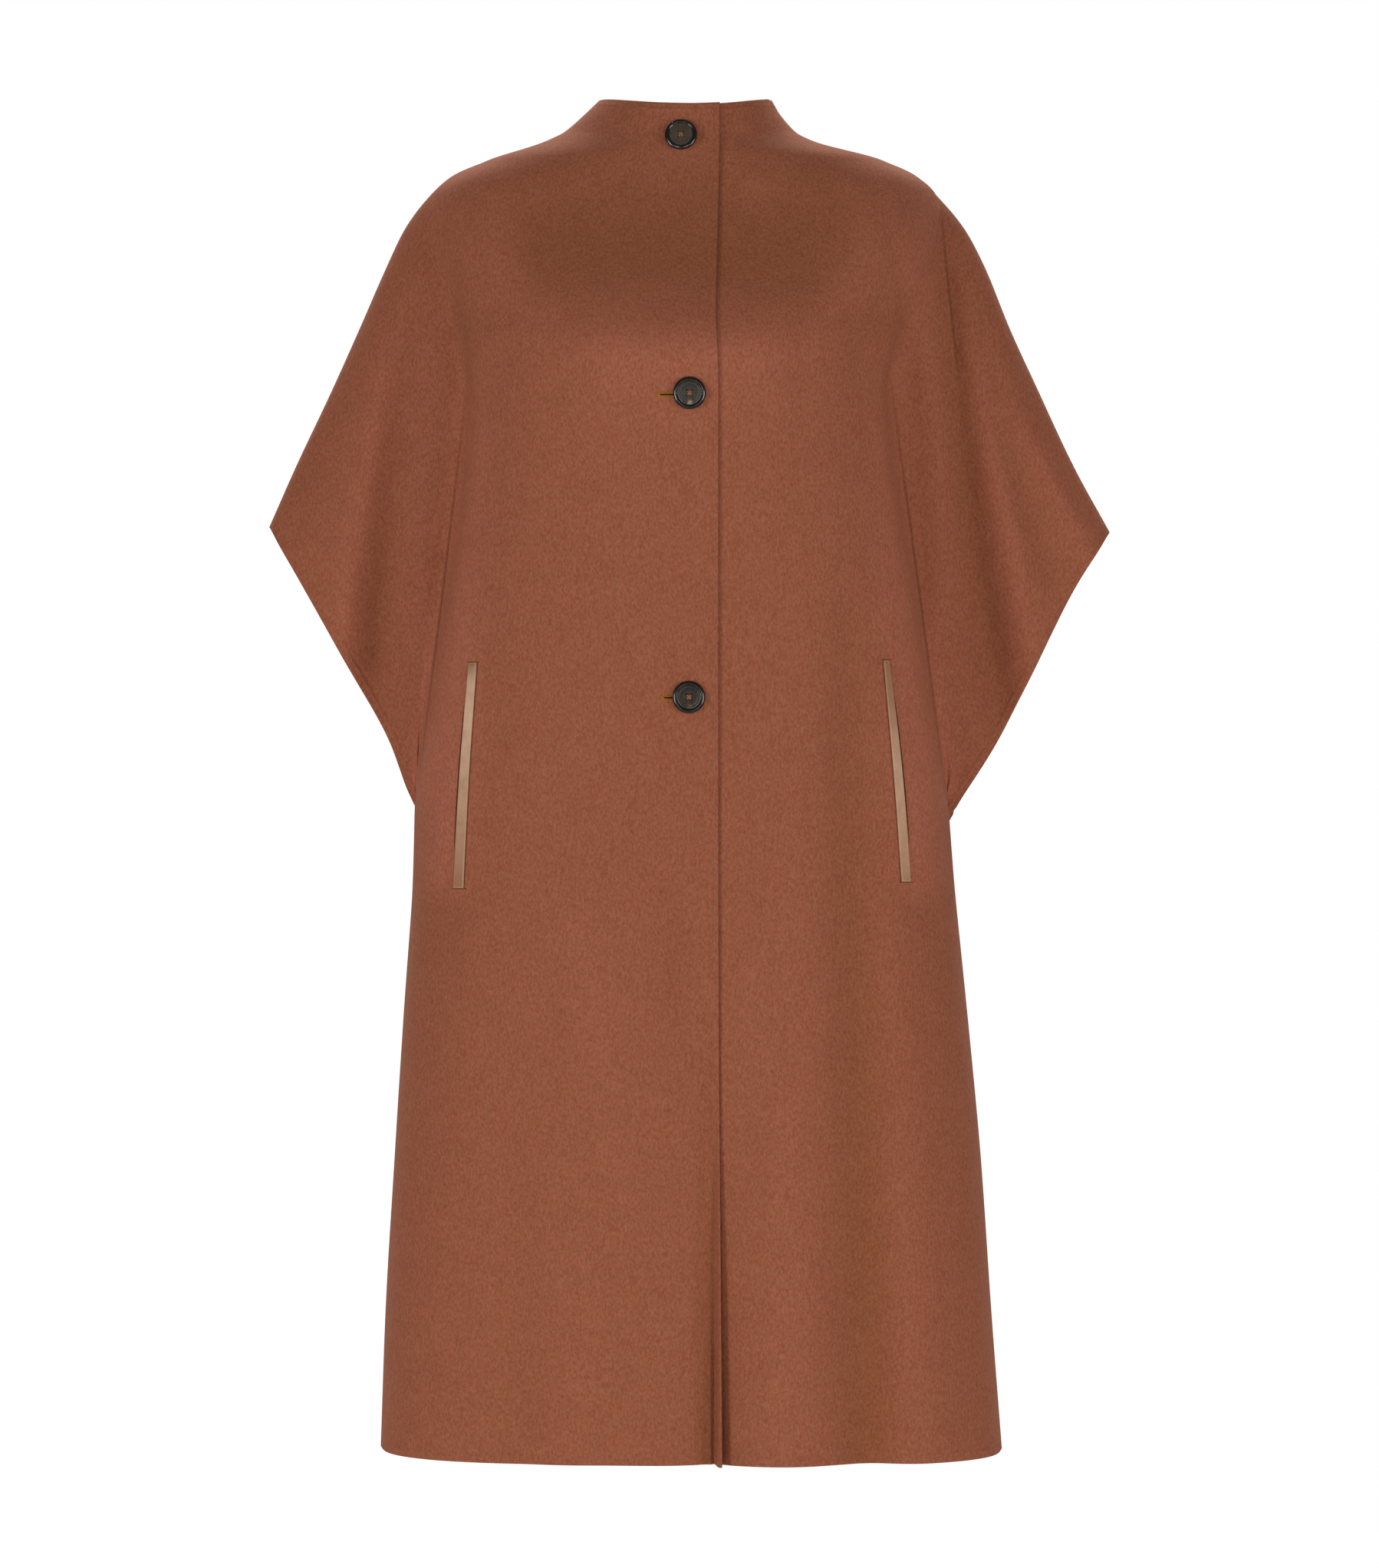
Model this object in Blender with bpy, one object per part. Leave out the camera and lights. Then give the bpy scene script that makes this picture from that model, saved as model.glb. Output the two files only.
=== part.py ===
"""Wool cape with a grown-on funnel neck and wing sleeves, filled out as it is worn.

Two fronts that lap at the centre, one back, two leather pocket welts and three horn buttons.
Blender units are metres, +Z is up and the front faces -Y. The wearer's right is at -X.
The origin is inside the neck, level with the tops of the shoulders, where the wearer holds it up.
All tables and named sizes are in millimetres, and MM turns them into metres.
"""

from collections import namedtuple
from functools import lru_cache
from math import cos, exp, pi, radians, sin

import bmesh
import bpy
import numpy as np
from mathutils import Matrix, Vector

MM = 0.001

# Cloth and seams
WALL = 2.4  # double-faced wool, two layers woven as one
SEAM = 0.3  # gap between pieces where they meet
NECK_DIP_FRONT = 9.0  # the neck edge is this much lower at the centre front than at its sides
NECK_RISE_BACK = 4.0  # and this much higher at the centre back
NECK_DIP_DEPTH = 80.0  # height over which that curve of the neck edge fades out
LAP_RISE = 48.0  # width over which the left front comes out from under the right one
LAP_CLEAR = 1.0  # it starts to rise this far past the right front's edge

# Mesh columns of each half: over the lap, from there to the armhole crease, and on to the edge
LAP_COLUMNS = 3
BODY_COLUMNS = 8
WING_COLUMNS = 6
CREASE_SHARE = 0.92  # the crease column is never further out than this share of the ring
RING_SAMPLES = 90  # points on a half ring from which its columns are spaced
LEVEL_HALVINGS = 40  # steps in the search for the level that passes through a height

# Outline: a row for each level, with the half width and the height of each side's edge.
# "rows" is the number of mesh rows down to the next level.
Level = namedtuple("Level", "name rows right_x right_z left_x left_z")
OUTLINE = [
    Level("neck top", 2, 70.5, 50.0, 64.5, 50.0),
    Level("neck side", 1, 83.0, 38.0, 71.5, 38.0),
    Level("neck root", 2, 96.0, 26.5, 82.0, 26.0),
    Level("shoulder seam", 2, 116.5, 16.2, 101.5, 16.2),
    Level("shoulder slope", 2, 153.5, 4.2, 145.5, 4.5),
    Level("shoulder", 2, 184.0, -8.0, 176.0, -8.0),
    Level("shoulder point", 2, 204.5, -26.0, 195.0, -26.0),
    Level("upper arm", 2, 222.5, -50.0, 215.0, -50.0),
    Level("chest", 3, 237.0, -80.0, 231.0, -80.0),
    Level("bust", 3, 258.0, -128.0, 250.5, -128.0),
    Level("under bust", 3, 279.5, -176.0, 272.5, -176.0),
    Level("elbow", 3, 307.8, -236.0, 300.6, -236.0),
    Level("wing tip", 3, 328.8, -283.5, 328.8, -287.5),
    Level("upper cuff", 3, 300.4, -332.0, 300.2, -332.0),
    Level("middle cuff", 3, 265.8, -392.0, 269.2, -392.0),
    Level("lower cuff", 3, 233.4, -452.0, 239.6, -452.0),
    Level("armpit", 2, 220.6, -488.0, 212.6, -495.0),
    Level("underarm", 2, 214.0, -504.0, 202.6, -514.0),
    Level("waist", 3, 215.6, -560.0, 206.2, -560.0),
    Level("hip", 4, 222.2, -656.0, 215.8, -656.0),
    Level("thigh", 3, 229.8, -776.0, 227.0, -776.0),
    Level("knee", 3, 236.8, -896.0, 235.2, -896.0),
    Level("hem", 0, 240.4, -999.0, 243.2, -1001.0),
]
CUFF_FLARE = 30.0  # how much wider the wing's ring is below its tip, in the end
CUFF_FLARE_RUN = 55.0  # height over which most of that comes
SHOULDER_SLOPE = 4
WING_TIP = 12
UNDERARM = 17
HEM = 22
CORNERS = (0, WING_TIP, UNDERARM, HEM)  # the outline turns sharply here

# Form: a row for each level that changes it, which may lie between two levels. "front" and "back" are
# the depths of the body's ring, "power" is how square that ring is, "crease_right" and "crease_left"
# are the half widths at which the body turns in behind the wings, "wing" is the wing's depth, "soft" is
# the width over which body and wing run into each other, and "lap" is how far each front passes the
# centre. Above the shoulder slope and below the underarm there is no wing.
Form = namedtuple("Form", "level front back power crease_right crease_left wing soft lap")
FORM = [
    Form(0, 61, 62, 2.0, 70.5, 64.5, 0, 0, 23.5),
    Form(2, 64.5, 68, 2.0, 96, 82, 0, 0, 23.5),
    Form(4, 70.5, 77, 2.2, 153.5, 145.5, 40, 10, 23.0),
    Form(6, 82, 85, 2.4, 198, 192, 62, 16, 22.5),
    Form(8, 106, 94, 2.7, 189, 184, 66, 24, 21.0),
    Form(9, 126, 99, 2.8, 180, 168, 62, 22, 20.0),
    Form(9.3, 131.5, 100, 2.85, 178, 164, 60, 19, 20.6),
    Form(10, 134.5, 102, 2.9, 174, 156, 55, 12, 22.0),
    Form(12, 134, 104, 2.9, 182, 169, 47, 9, 22.0),
    Form(13, 133, 104.3, 2.9, 190, 177, 45, 8, 22.0),
    Form(14, 132.3, 105, 2.9, 200, 186, 43, 7, 22.0),
    Form(15, 132, 106, 2.9, 209, 195, 37, 6, 22.0),
    Form(16, 132.1, 106.8, 2.9, 213, 200.5, 20, 4, 22.0),
    Form(17, 132.2, 107.3, 2.9, 214, 202.6, 0, 0, 22.0),
    Form(19, 135, 114, 2.96, 222, 216, 0, 0, 22.3),
    Form(22, 140, 130, 3.1, 240.4, 243.2, 0, 0, 24.5),
]

# Largest folds: each runs from its top to its foot, in x and z, bowed sideways in the middle. Depths
# are outward for a ridge and negative for a trough, and "wide" is the half width of its slope. A fold
# that runs off the cloth has its foot past the edge, and one that dies out has no depth there.
Fold = namedtuple("Fold", "name face top_x top_z foot_x foot_z bow top_depth foot_depth top_wide foot_wide")
FOLDS = [
    Fold("left wing trough", -1, 198, -34, 252, -470, -8, -4, -8, 18, 25),
    Fold("left wing ridge", -1, 206, -120, 288, -440, 0, 2, 6, 22, 30),
    Fold("right wing ridge", -1, -198, -50, -292, -430, -8, 5, 7, 18, 28),
    Fold("right wing trough", -1, -206, -60, -240, -500, -4, -3, -6, 17, 24),
    Fold("left skirt trough", -1, 117, -360, 136, -1010, 0, 0, -8, 22, 26),
    Fold("left skirt ridge", -1, 50, -420, 60, -1010, 0, 0, 5, 26, 32),
    Fold("front edge trough", -1, 6, -700, 4, -1010, 0, 0, -5, 12, 14),
    Fold("back left wing ridge", 1, 205, -60, 282, -510, -8, 5, 8, 15, 26),
    Fold("back left wing trough", 1, 186, -110, 245, -520, 8, -4, -8, 14, 20),
    Fold("back right wing ridge", 1, -222, -80, -266, -500, 4, 5, 8, 15, 26),
    Fold("back skirt left flute", 1, 88, -420, 118, -1010, 4, 0, 9, 30, 40),
    Fold("back skirt right flute", 1, -70, -380, -104, -1010, -4, 0, 8, 30, 42),
    Fold("back skirt middle trough", 1, 12, -460, 8, -1010, 6, 0, -7, 26, 38),
]
FOLD_RUN_IN = 60.0  # length over which a fold begins
FOLD_SEAM_TAPER = 28.0  # folds die out where the cloth is nearer than this to the plane of the seams

# Pocket welts: the middle line of each at its top, middle and foot, and its width there
WeltPoint = namedtuple("WeltPoint", "x z width")
WELTS = {
    "welt_right": [
        WeltPoint(-165.4, -391.5, 9.0),
        WeltPoint(-172.2, -480.0, 10.5),
        WeltPoint(-176.5, -563.8, 11.0),
    ],
    "welt_left": [
        WeltPoint(149.8, -389.8, 6.0),
        WeltPoint(159.0, -474.0, 9.5),
        WeltPoint(165.5, -558.8, 10.0),
    ],
}
WELT_THICK = 1.4
WELT_ROWS = 14
WELT_COLUMNS = 2
WELT_SEAT = 0.45  # clears the cloth's facets
FRAME_REACH = 4.0  # distance over which the cloth's slope is read under a welt

# Buttons: where the middle of each is, on the centre front
ButtonPlace = namedtuple("ButtonPlace", "x z")
BUTTONS = {
    "button_top": ButtonPlace(-6.5, 14.8),
    "button_middle": ButtonPlace(0.0, -188.5),
    "button_bottom": ButtonPlace(-0.5, -418.5),
}
BUTTON_RADIUS = 12.4
BUTTON_THICK = 3.8
BUTTON_EDGE = 1.2  # roundness of its outer edge
BUTTON_EDGE_TURNS = (-45, 0, 60)  # degrees round that edge at which it has a point
RIM_WIDTH = 2.6
DISH_DEPTH = 1.0
DISH_STEP = 0.6  # share of that depth at the foot of the rim
HOLE_RADIUS = 0.85
HOLE_PITCH = 1.75  # from the button's middle to each hole, along x and along z
HOLE_SIDES = 8
BUTTON_SIDES = 24
BUTTON_SEAT = 0.35

# Plain colours, linear
WOOL = (0.30, 0.105, 0.056)
LEATHER = (0.42, 0.27, 0.16)
HORN = (0.02, 0.014, 0.011)
WOOL_ROUGHNESS = 0.9
WOOL_SHEEN = 0.3
LEATHER_ROUGHNESS = 0.45
HORN_ROUGHNESS = 0.25
SMOOTH_ANGLE = 50  # degrees, above which an edge is sharp
MERGE_REACH = 0.01  # points nearer than this are one

TINY = 1e-9  # keeps a division clear of zero
MOST_WING = 0.9  # the wing's depth at the crease counts as at most this share of the body's

RIGHT, LEFT = -1, 1
FRONT, BACK = -1, 1


def clear_scene():
    for old in list(bpy.data.objects):
        bpy.data.objects.remove(old, do_unlink=True)


def smoothstep(value, start, end):
    share = np.clip((value - start) / (end - start), 0.0, 1.0)
    return share * share * (3.0 - 2.0 * share)


def slopes_at(places, values):
    """Slopes for a smooth curve through the values that never overshoots them."""
    steps = np.diff(values) / np.diff(places)
    slopes = np.concatenate([steps[:1], np.zeros(len(steps) - 1), steps[-1:]])
    for i in range(1, len(steps)):
        if steps[i - 1] * steps[i] > 0:
            slopes[i] = 2.0 * steps[i - 1] * steps[i] / (steps[i - 1] + steps[i])
    return slopes


def along(places, values, at):
    """The smooth curve through values at places, read at one place."""
    places = np.array(places, float)
    values = np.array(values, float)
    slopes = slopes_at(places, values)
    i = int(np.clip(np.searchsorted(places, at, side="right") - 1, 0, len(places) - 2))
    span = places[i + 1] - places[i]
    share = (at - places[i]) / span
    return (
        values[i] * (1 + 2 * share) * (1 - share) ** 2
        + slopes[i] * span * share * (1 - share) ** 2
        + values[i + 1] * share**2 * (3 - 2 * share)
        + slopes[i + 1] * span * share**2 * (share - 1)
    )


@lru_cache(maxsize=None)
def outline_at(side, level):
    """Half width and height of one side's edge at a level, which may lie between two rows."""
    part = 0
    while part < len(CORNERS) - 2 and level >= CORNERS[part + 1]:
        part += 1
    first, last = CORNERS[part], CORNERS[part + 1]
    places = list(range(first, last + 1))
    name = "right" if side == RIGHT else "left"
    widths = [getattr(OUTLINE[i], name + "_x") for i in places]
    heights = [getattr(OUTLINE[i], name + "_z") for i in places]
    return along(places, widths, level), along(places, heights, level)


def middle_height(level):
    """Height of a ring at the centre, before the curve of the neck edge."""
    return (outline_at(RIGHT, level)[1] + outline_at(LEFT, level)[1]) / 2


@lru_cache(maxsize=None)
def form_at(field, level):
    drops = [-middle_height(form.level) for form in FORM]
    return along(drops, [getattr(form, field) for form in FORM], -middle_height(level))


def round_end(share, power):
    """A ring's depth, from 1 in the middle to 0 at its end."""
    return (1.0 - np.clip(share, 0.0, 1.0) ** power) ** (1.0 / power)


def blended(first, second, soft):
    """The larger of two depths, with their meeting rounded."""
    soft = np.minimum(soft, first + second) + TINY
    near = np.maximum(soft - np.abs(first - second), 0.0) / soft
    return np.maximum(first, second) + near * near * soft / 4.0


def crease_at(side, level):
    """Half width at which the body turns in behind the wing, or the whole one where there is no wing."""
    width, _ = outline_at(side, level)
    if level <= SHOULDER_SLOPE or level >= UNDERARM:
        return width
    return min(form_at("crease_right" if side == RIGHT else "crease_left", level), width)


def sleeve_depth(side, level, x):
    """Depth of the wing's ring. Below the wing tip the cuff cuts across that ring, which stays open
    and still widens a little, so that the cloth runs on smoothly past the tip's level.
    """
    width, height = outline_at(side, min(level, WING_TIP))
    past_tip = height - outline_at(side, level)[1]
    width += CUFF_FLARE * (1.0 - exp(-past_tip / CUFF_FLARE_RUN))
    return form_at("wing", level) * round_end(x / width, 2.0)


def ring_depth(face, side, level, x):
    """Depth of the cloth's outside from the plane of the seams, at half width x."""
    depth = form_at("front" if face == FRONT else "back", level)
    power = form_at("power", level)
    crease = crease_at(side, level)
    at_crease = min(sleeve_depth(side, level, crease) / depth, MOST_WING)
    closes = crease / (1.0 - at_crease**power) ** (1.0 / power)
    body = depth * round_end(x / closes, power)
    return blended(body, sleeve_depth(side, level, x), form_at("soft", level)) + SEAM / 2


def height_at(face, level, x):
    """Height of the ring at x: level across, but for the curve of the neck edge."""
    width, side_height = outline_at(RIGHT if x < 0 else LEFT, level)
    middle = middle_height(level)
    share = min(abs(x) / width, 1.0)
    fade = 1.0 - smoothstep(OUTLINE[0].right_z - middle, 0.0, NECK_DIP_DEPTH)
    curve = -NECK_DIP_FRONT if face == FRONT else NECK_RISE_BACK
    return middle + (side_height - middle) * share + curve * fade * (1.0 - share**2)


def fold_depth(fold, x, z):
    """How far one fold lifts the cloth at x and z."""
    share = (fold.top_z - z) / (fold.top_z - fold.foot_z)
    if share <= 0.0 or share >= 1.0:
        return 0.0
    middle = fold.top_x + (fold.foot_x - fold.top_x) * share + fold.bow * sin(pi * share)
    wide = fold.top_wide + (fold.foot_wide - fold.top_wide) * share
    depth = fold.top_depth + (fold.foot_depth - fold.top_depth) * share
    begun = smoothstep(fold.top_z - z, 0.0, FOLD_RUN_IN)
    return depth * begun * np.exp(-(((x - middle) / wide) ** 2))


def cloth_point(face, level, x):
    """A point on the cloth's outside, in millimetres."""
    z = height_at(face, level, x)
    depth = ring_depth(face, RIGHT if x < 0 else LEFT, level, abs(x))
    lift = sum(fold_depth(fold, x, z) for fold in FOLDS if fold.face == face)
    return np.array([x, face * (depth + lift * smoothstep(depth, 0.0, FOLD_SEAM_TAPER)), z])


def columns_of_half(face, side, level):
    """Half widths of the mesh columns from the lap's edge to the outline, evenly spaced round the ring."""
    width, _ = outline_at(side, level)
    lap = form_at("lap", level)
    samples = lap + (width - lap) * np.sin(np.linspace(0.0, pi / 2, RING_SAMPLES))
    depths = ring_depth(face, side, level, samples)
    run = np.concatenate([[0.0], np.cumsum(np.hypot(np.diff(samples), np.diff(depths)))])
    at_crease = np.interp(crease_at(side, level), samples, run) / run[-1]
    crease_share = min(at_crease, CREASE_SHARE)
    body = np.linspace(0.0, crease_share, BODY_COLUMNS + 1)
    wing = np.linspace(crease_share, 1.0, WING_COLUMNS + 1)[1:]
    return np.interp(np.concatenate([body, wing]) * run[-1], run, samples)


def mesh_levels():
    levels = [0.0]
    for i, level in enumerate(OUTLINE):
        levels += [i + (n + 1) / level.rows for n in range(level.rows)]
    return levels


def cloth_grid(face):
    """Points of the whole front or back, and the directions that point out of the cloth there."""
    rings = []
    for level in mesh_levels():
        right = -columns_of_half(face, RIGHT, level)[::-1]
        left = columns_of_half(face, LEFT, level)
        lap = np.linspace(right[-1], left[0], LAP_COLUMNS + 1)[1:-1]
        rings.append([cloth_point(face, level, x) for x in np.concatenate([right, lap, left])])
    points = np.array(rings)
    across = np.gradient(points, axis=1)
    down = np.gradient(points, axis=0)
    outward = np.cross(down, across) * -face
    seamed = [row for row, level in enumerate(mesh_levels()) if level <= WING_TIP or level >= UNDERARM]
    for column in (0, -1):
        outward[seamed, column, 1] = 0.0
    outward /= np.linalg.norm(outward, axis=2, keepdims=True)
    return points, outward


def finish_object(name, shape, material):
    """Turns a bmesh into a named object with its own material, shaded smooth."""
    bmesh.ops.recalc_face_normals(shape, faces=shape.faces)
    mesh = bpy.data.meshes.new(name)
    shape.to_mesh(mesh)
    shape.free()
    mesh.materials.append(material)
    mesh.shade_smooth()
    mesh.set_sharp_from_angle(angle=radians(SMOOTH_ANGLE))
    made = bpy.data.objects.new(name, mesh)
    bpy.context.scene.collection.objects.link(made)
    return made


def shell(name, outside, inside, material):
    """A closed wall between two grids of points: a flat grid, extruded, then laid on them."""
    rows, columns = outside.shape[:2]
    shape = bmesh.new()
    bmesh.ops.create_grid(shape, x_segments=columns - 1, y_segments=rows - 1, size=0.5)
    outer = list(shape.verts)
    made = bmesh.ops.extrude_face_region(shape, geom=shape.faces[:], use_keep_orig=True)
    inner = [item for item in made["geom"] if isinstance(item, bmesh.types.BMVert)]
    for verts, grid in ((outer, outside), (inner, inside)):
        for vert in verts:
            column = round((vert.co.x + 0.5) * (columns - 1))
            row = round((vert.co.y + 0.5) * (rows - 1))
            vert.co = Vector(grid[row, column]) * MM
    return finish_object(name, shape, material)


def plain_material(name, colour, roughness, sheen=0.0):
    material = bpy.data.materials.new(name)
    material.use_nodes = True
    shader = material.node_tree.nodes["Principled BSDF"]
    shader.inputs["Base Color"].default_value = (*colour, 1.0)
    shader.inputs["Roughness"].default_value = roughness
    shader.inputs["Metallic"].default_value = 0.0
    shader.inputs["Sheen Weight"].default_value = sheen
    material.diffuse_color = (*colour, 1.0)
    return material


def build_fronts():
    """The right front lies on top, and the left front passes under it at the centre."""
    points, outward = cloth_grid(FRONT)
    half = BODY_COLUMNS + WING_COLUMNS
    wool = plain_material("wool_right_front", WOOL, WOOL_ROUGHNESS, WOOL_SHEEN)
    right = slice(0, half + LAP_COLUMNS + 1)
    outside = points[:, right]
    shell("right_front", outside, outside - outward[:, right] * WALL, wool)

    wool = plain_material("wool_left_front", WOOL, WOOL_ROUGHNESS, WOOL_SHEEN)
    left = slice(half, None)
    outside = points[:, left]
    lap = np.array([form_at("lap", level) for level in mesh_levels()])[:, None]
    under = 1.0 - smoothstep(outside[:, :, 0], lap + LAP_CLEAR, lap + LAP_RISE)
    outside = outside - outward[:, left] * (under * (WALL + SEAM))[:, :, None]
    shell("left_front", outside, outside - outward[:, left] * WALL, wool)


def build_back():
    points, outward = cloth_grid(BACK)
    wool = plain_material("wool_back", WOOL, WOOL_ROUGHNESS, WOOL_SHEEN)
    shell("back", points, points - outward * WALL, wool)


def level_at_height(face, x, z):
    """The level whose ring passes through z at x, found by halving."""
    high, low = 0.0, float(HEM)
    for _ in range(LEVEL_HALVINGS):
        middle = (high + low) / 2
        if height_at(face, middle, x) > z:
            high = middle
        else:
            low = middle
    return (high + low) / 2


def front_point(x, z):
    return cloth_point(FRONT, level_at_height(FRONT, x, z), x)


def front_frame(x, z, reach):
    """The front cloth's point at x and z, and its directions outward and across, taken over a reach."""
    across = front_point(x + reach, z) - front_point(x - reach, z)
    down = front_point(x, z - reach) - front_point(x, z + reach)
    outward = np.cross(down, across)
    return front_point(x, z), outward / np.linalg.norm(outward), across / np.linalg.norm(across)


def build_welt(name, line):
    """A leather strip laid on the front along its middle line."""
    under, top = [], []
    for at in np.linspace(0.0, len(line) - 1, WELT_ROWS + 1):
        x, z, width = (along(range(len(line)), values, at) for values in zip(*line))
        point, outward, across = front_frame(x, z, FRAME_REACH)
        strip = [point + across * width * step for step in np.linspace(-0.5, 0.5, WELT_COLUMNS + 1)]
        on_cloth = [front_point(place[0], place[2]) for place in strip]
        under.append([place + outward * WELT_SEAT for place in on_cloth])
        top.append([place + outward * (WELT_SEAT + WELT_THICK) for place in on_cloth])
    leather = plain_material("leather_" + name, LEATHER, LEATHER_ROUGHNESS)
    return shell(name, np.array(top), np.array(under), leather)


def button_profile():
    """Radius and height of the button's outline, from the middle of its back round to its face."""
    edge = BUTTON_EDGE
    rim_inner = BUTTON_RADIUS - RIM_WIDTH
    profile = [(0.0, 0.0), (BUTTON_RADIUS - edge, 0.0)]
    for turn in BUTTON_EDGE_TURNS:
        angle = radians(turn)
        height = BUTTON_THICK / 2 * (1.0 + sin(angle))
        profile.append((BUTTON_RADIUS - edge * (1.0 - cos(angle)), height))
    profile += [
        (BUTTON_RADIUS - RIM_WIDTH / 2, BUTTON_THICK),
        (rim_inner, BUTTON_THICK - DISH_DEPTH * DISH_STEP),
        (rim_inner - RIM_WIDTH / 2, BUTTON_THICK - DISH_DEPTH),
        (0.0, BUTTON_THICK - DISH_DEPTH),
    ]
    return profile


def hole_cutter(name):
    """Four pins that cut the thread holes, kept as a guide."""
    shape = bmesh.new()
    for side in (-1, 1):
        for rise in (-1, 1):
            middle = Vector((side * HOLE_PITCH, rise * HOLE_PITCH, BUTTON_THICK / 2)) * MM
            bmesh.ops.create_cone(
                shape,
                cap_ends=True,
                segments=HOLE_SIDES,
                radius1=HOLE_RADIUS * MM,
                radius2=HOLE_RADIUS * MM,
                depth=BUTTON_THICK * 2 * MM,
                matrix=Matrix.Translation(middle),
            )
    mesh = bpy.data.meshes.new(name)
    shape.to_mesh(mesh)
    shape.free()
    cutter = bpy.data.objects.new(name, mesh)
    bpy.context.scene.collection.objects.link(cutter)
    cutter.hide_render = True
    cutter.display_type = "WIRE"
    return cutter


def button_placing(place):
    """Turns a button's own axes, face along +Z, to lie on the highest cloth under it."""
    point, outward, across = front_frame(place.x, place.z, BUTTON_RADIUS)
    rise = 0.0
    for turn in np.linspace(0.0, 2 * pi, BUTTON_SIDES, endpoint=False):
        spot = front_point(place.x + BUTTON_RADIUS * cos(turn), place.z + BUTTON_RADIUS * sin(turn))
        rise = max(rise, float(np.dot(spot - point, outward)))
    seat = (point + outward * (rise + BUTTON_SEAT)) * MM
    turn = Matrix((across, np.cross(outward, across), outward)).transposed().to_4x4()
    return Matrix.Translation(Vector(seat)) @ turn


def build_button(name, place):
    """A turned horn button with a raised rim, a dished middle and four holes."""
    shape = bmesh.new()
    profile = [shape.verts.new(Vector((radius, 0.0, height)) * MM) for radius, height in button_profile()]
    edges = [shape.edges.new(pair) for pair in zip(profile, profile[1:])]
    bmesh.ops.spin(
        shape,
        geom=profile + edges,
        cent=(0, 0, 0),
        axis=(0, 0, 1),
        angle=2 * pi,
        steps=BUTTON_SIDES,
        use_merge=True,
    )
    bmesh.ops.remove_doubles(shape, verts=shape.verts, dist=MERGE_REACH * MM)
    horn = plain_material("horn_" + name, HORN, HORN_ROUGHNESS)
    button = finish_object(name, shape, horn)
    cutter = hole_cutter(name + "_holes")
    for item in (button, cutter):
        item.matrix_world = button_placing(place)
    holes = button.modifiers.new("thread holes", "BOOLEAN")
    holes.operation = "DIFFERENCE"
    holes.solver = "EXACT"
    holes.object = cutter
    return button


def main():
    clear_scene()
    build_fronts()
    build_back()
    for name, line in WELTS.items():
        build_welt(name, line)
    for name, place in BUTTONS.items():
        build_button(name, place)


main()
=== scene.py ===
"""Dresses the solids of a knee-length wool cape in brushed wool, leather and horn.

Every piece lies in the frame of the solids: metres, +Z up, the front facing -Y and the wearer's
right at -X. Tables and named sizes are in millimetres, and MM turns them into metres.
"""

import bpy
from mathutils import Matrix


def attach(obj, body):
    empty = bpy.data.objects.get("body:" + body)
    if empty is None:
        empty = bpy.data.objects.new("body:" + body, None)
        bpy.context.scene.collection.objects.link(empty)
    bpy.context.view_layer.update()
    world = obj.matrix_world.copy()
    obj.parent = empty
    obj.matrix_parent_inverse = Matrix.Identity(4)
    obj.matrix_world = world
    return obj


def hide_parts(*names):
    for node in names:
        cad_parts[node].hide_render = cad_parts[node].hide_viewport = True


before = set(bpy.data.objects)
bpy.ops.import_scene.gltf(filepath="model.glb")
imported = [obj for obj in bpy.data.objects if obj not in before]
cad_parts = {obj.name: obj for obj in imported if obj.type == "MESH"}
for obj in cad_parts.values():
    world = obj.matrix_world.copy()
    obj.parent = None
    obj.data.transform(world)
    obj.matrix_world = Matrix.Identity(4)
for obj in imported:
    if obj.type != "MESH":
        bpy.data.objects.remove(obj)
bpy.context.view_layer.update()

from collections import namedtuple
from functools import partial
from math import cos, pi, radians, sin

import bmesh
import bpy
import numpy as np
from bpy.props import FloatProperty, FloatVectorProperty, PointerProperty
from mathutils import Matrix, Vector, noise
from mathutils.bvhtree import BVHTree

bl_info = {
    "name": "Wool cape dressing",
    "version": (1, 0, 0),
    "blender": (4, 5, 0),
    "location": "View3D > Sidebar > Cape",
    "description": "Dresses the solids of a wool cape in wool, leather and horn",
    "category": "Object",
}

MM = 0.001

# Walls of the solids, and how their cells are refined
CLOTH_THICK = 2.4
WELT_THICK = 1.4
THICK_SLACK = 0.06  # an edge this close to the wall's thickness runs through the wall
MERGE_REACH = 0.01
CORNER_ANGLE = 30  # degrees, above which the edge band turns a corner
REFINE_LEVELS = 2
DRAW_ROUNDS = 3  # rounds that draw the refined cloth through the solid's own corners
# Strips at the front edge whose cells are cut finer
FineStrip = namedtuple("FineStrip", "left_x right_x cuts")
FINE_STRIPS = {"right_front": FineStrip(-22, 28, 3), "left_front": FineStrip(18, 62, 3)}
ACROSS_SHARE = 0.8  # an edge with more than this share of its length sideways runs across a strip
CLOTH_INSET = 0.8  # how far the corners of the cloth's edge are drawn in
WELT_INSET = 0.5  # and those of the welts' edge
SEAM_INSET = 0.35  # share of that at a seam
SEAM_PLANE = 0.5  # the edge band lies at a seam where it is within this of the plane of the seams
SEAM_TAPER = 28.0  # creases die out where the cloth is nearer than this to that plane
EDGE_REACH = 40.0  # distances to the cloth's edge are kept up to this

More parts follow.
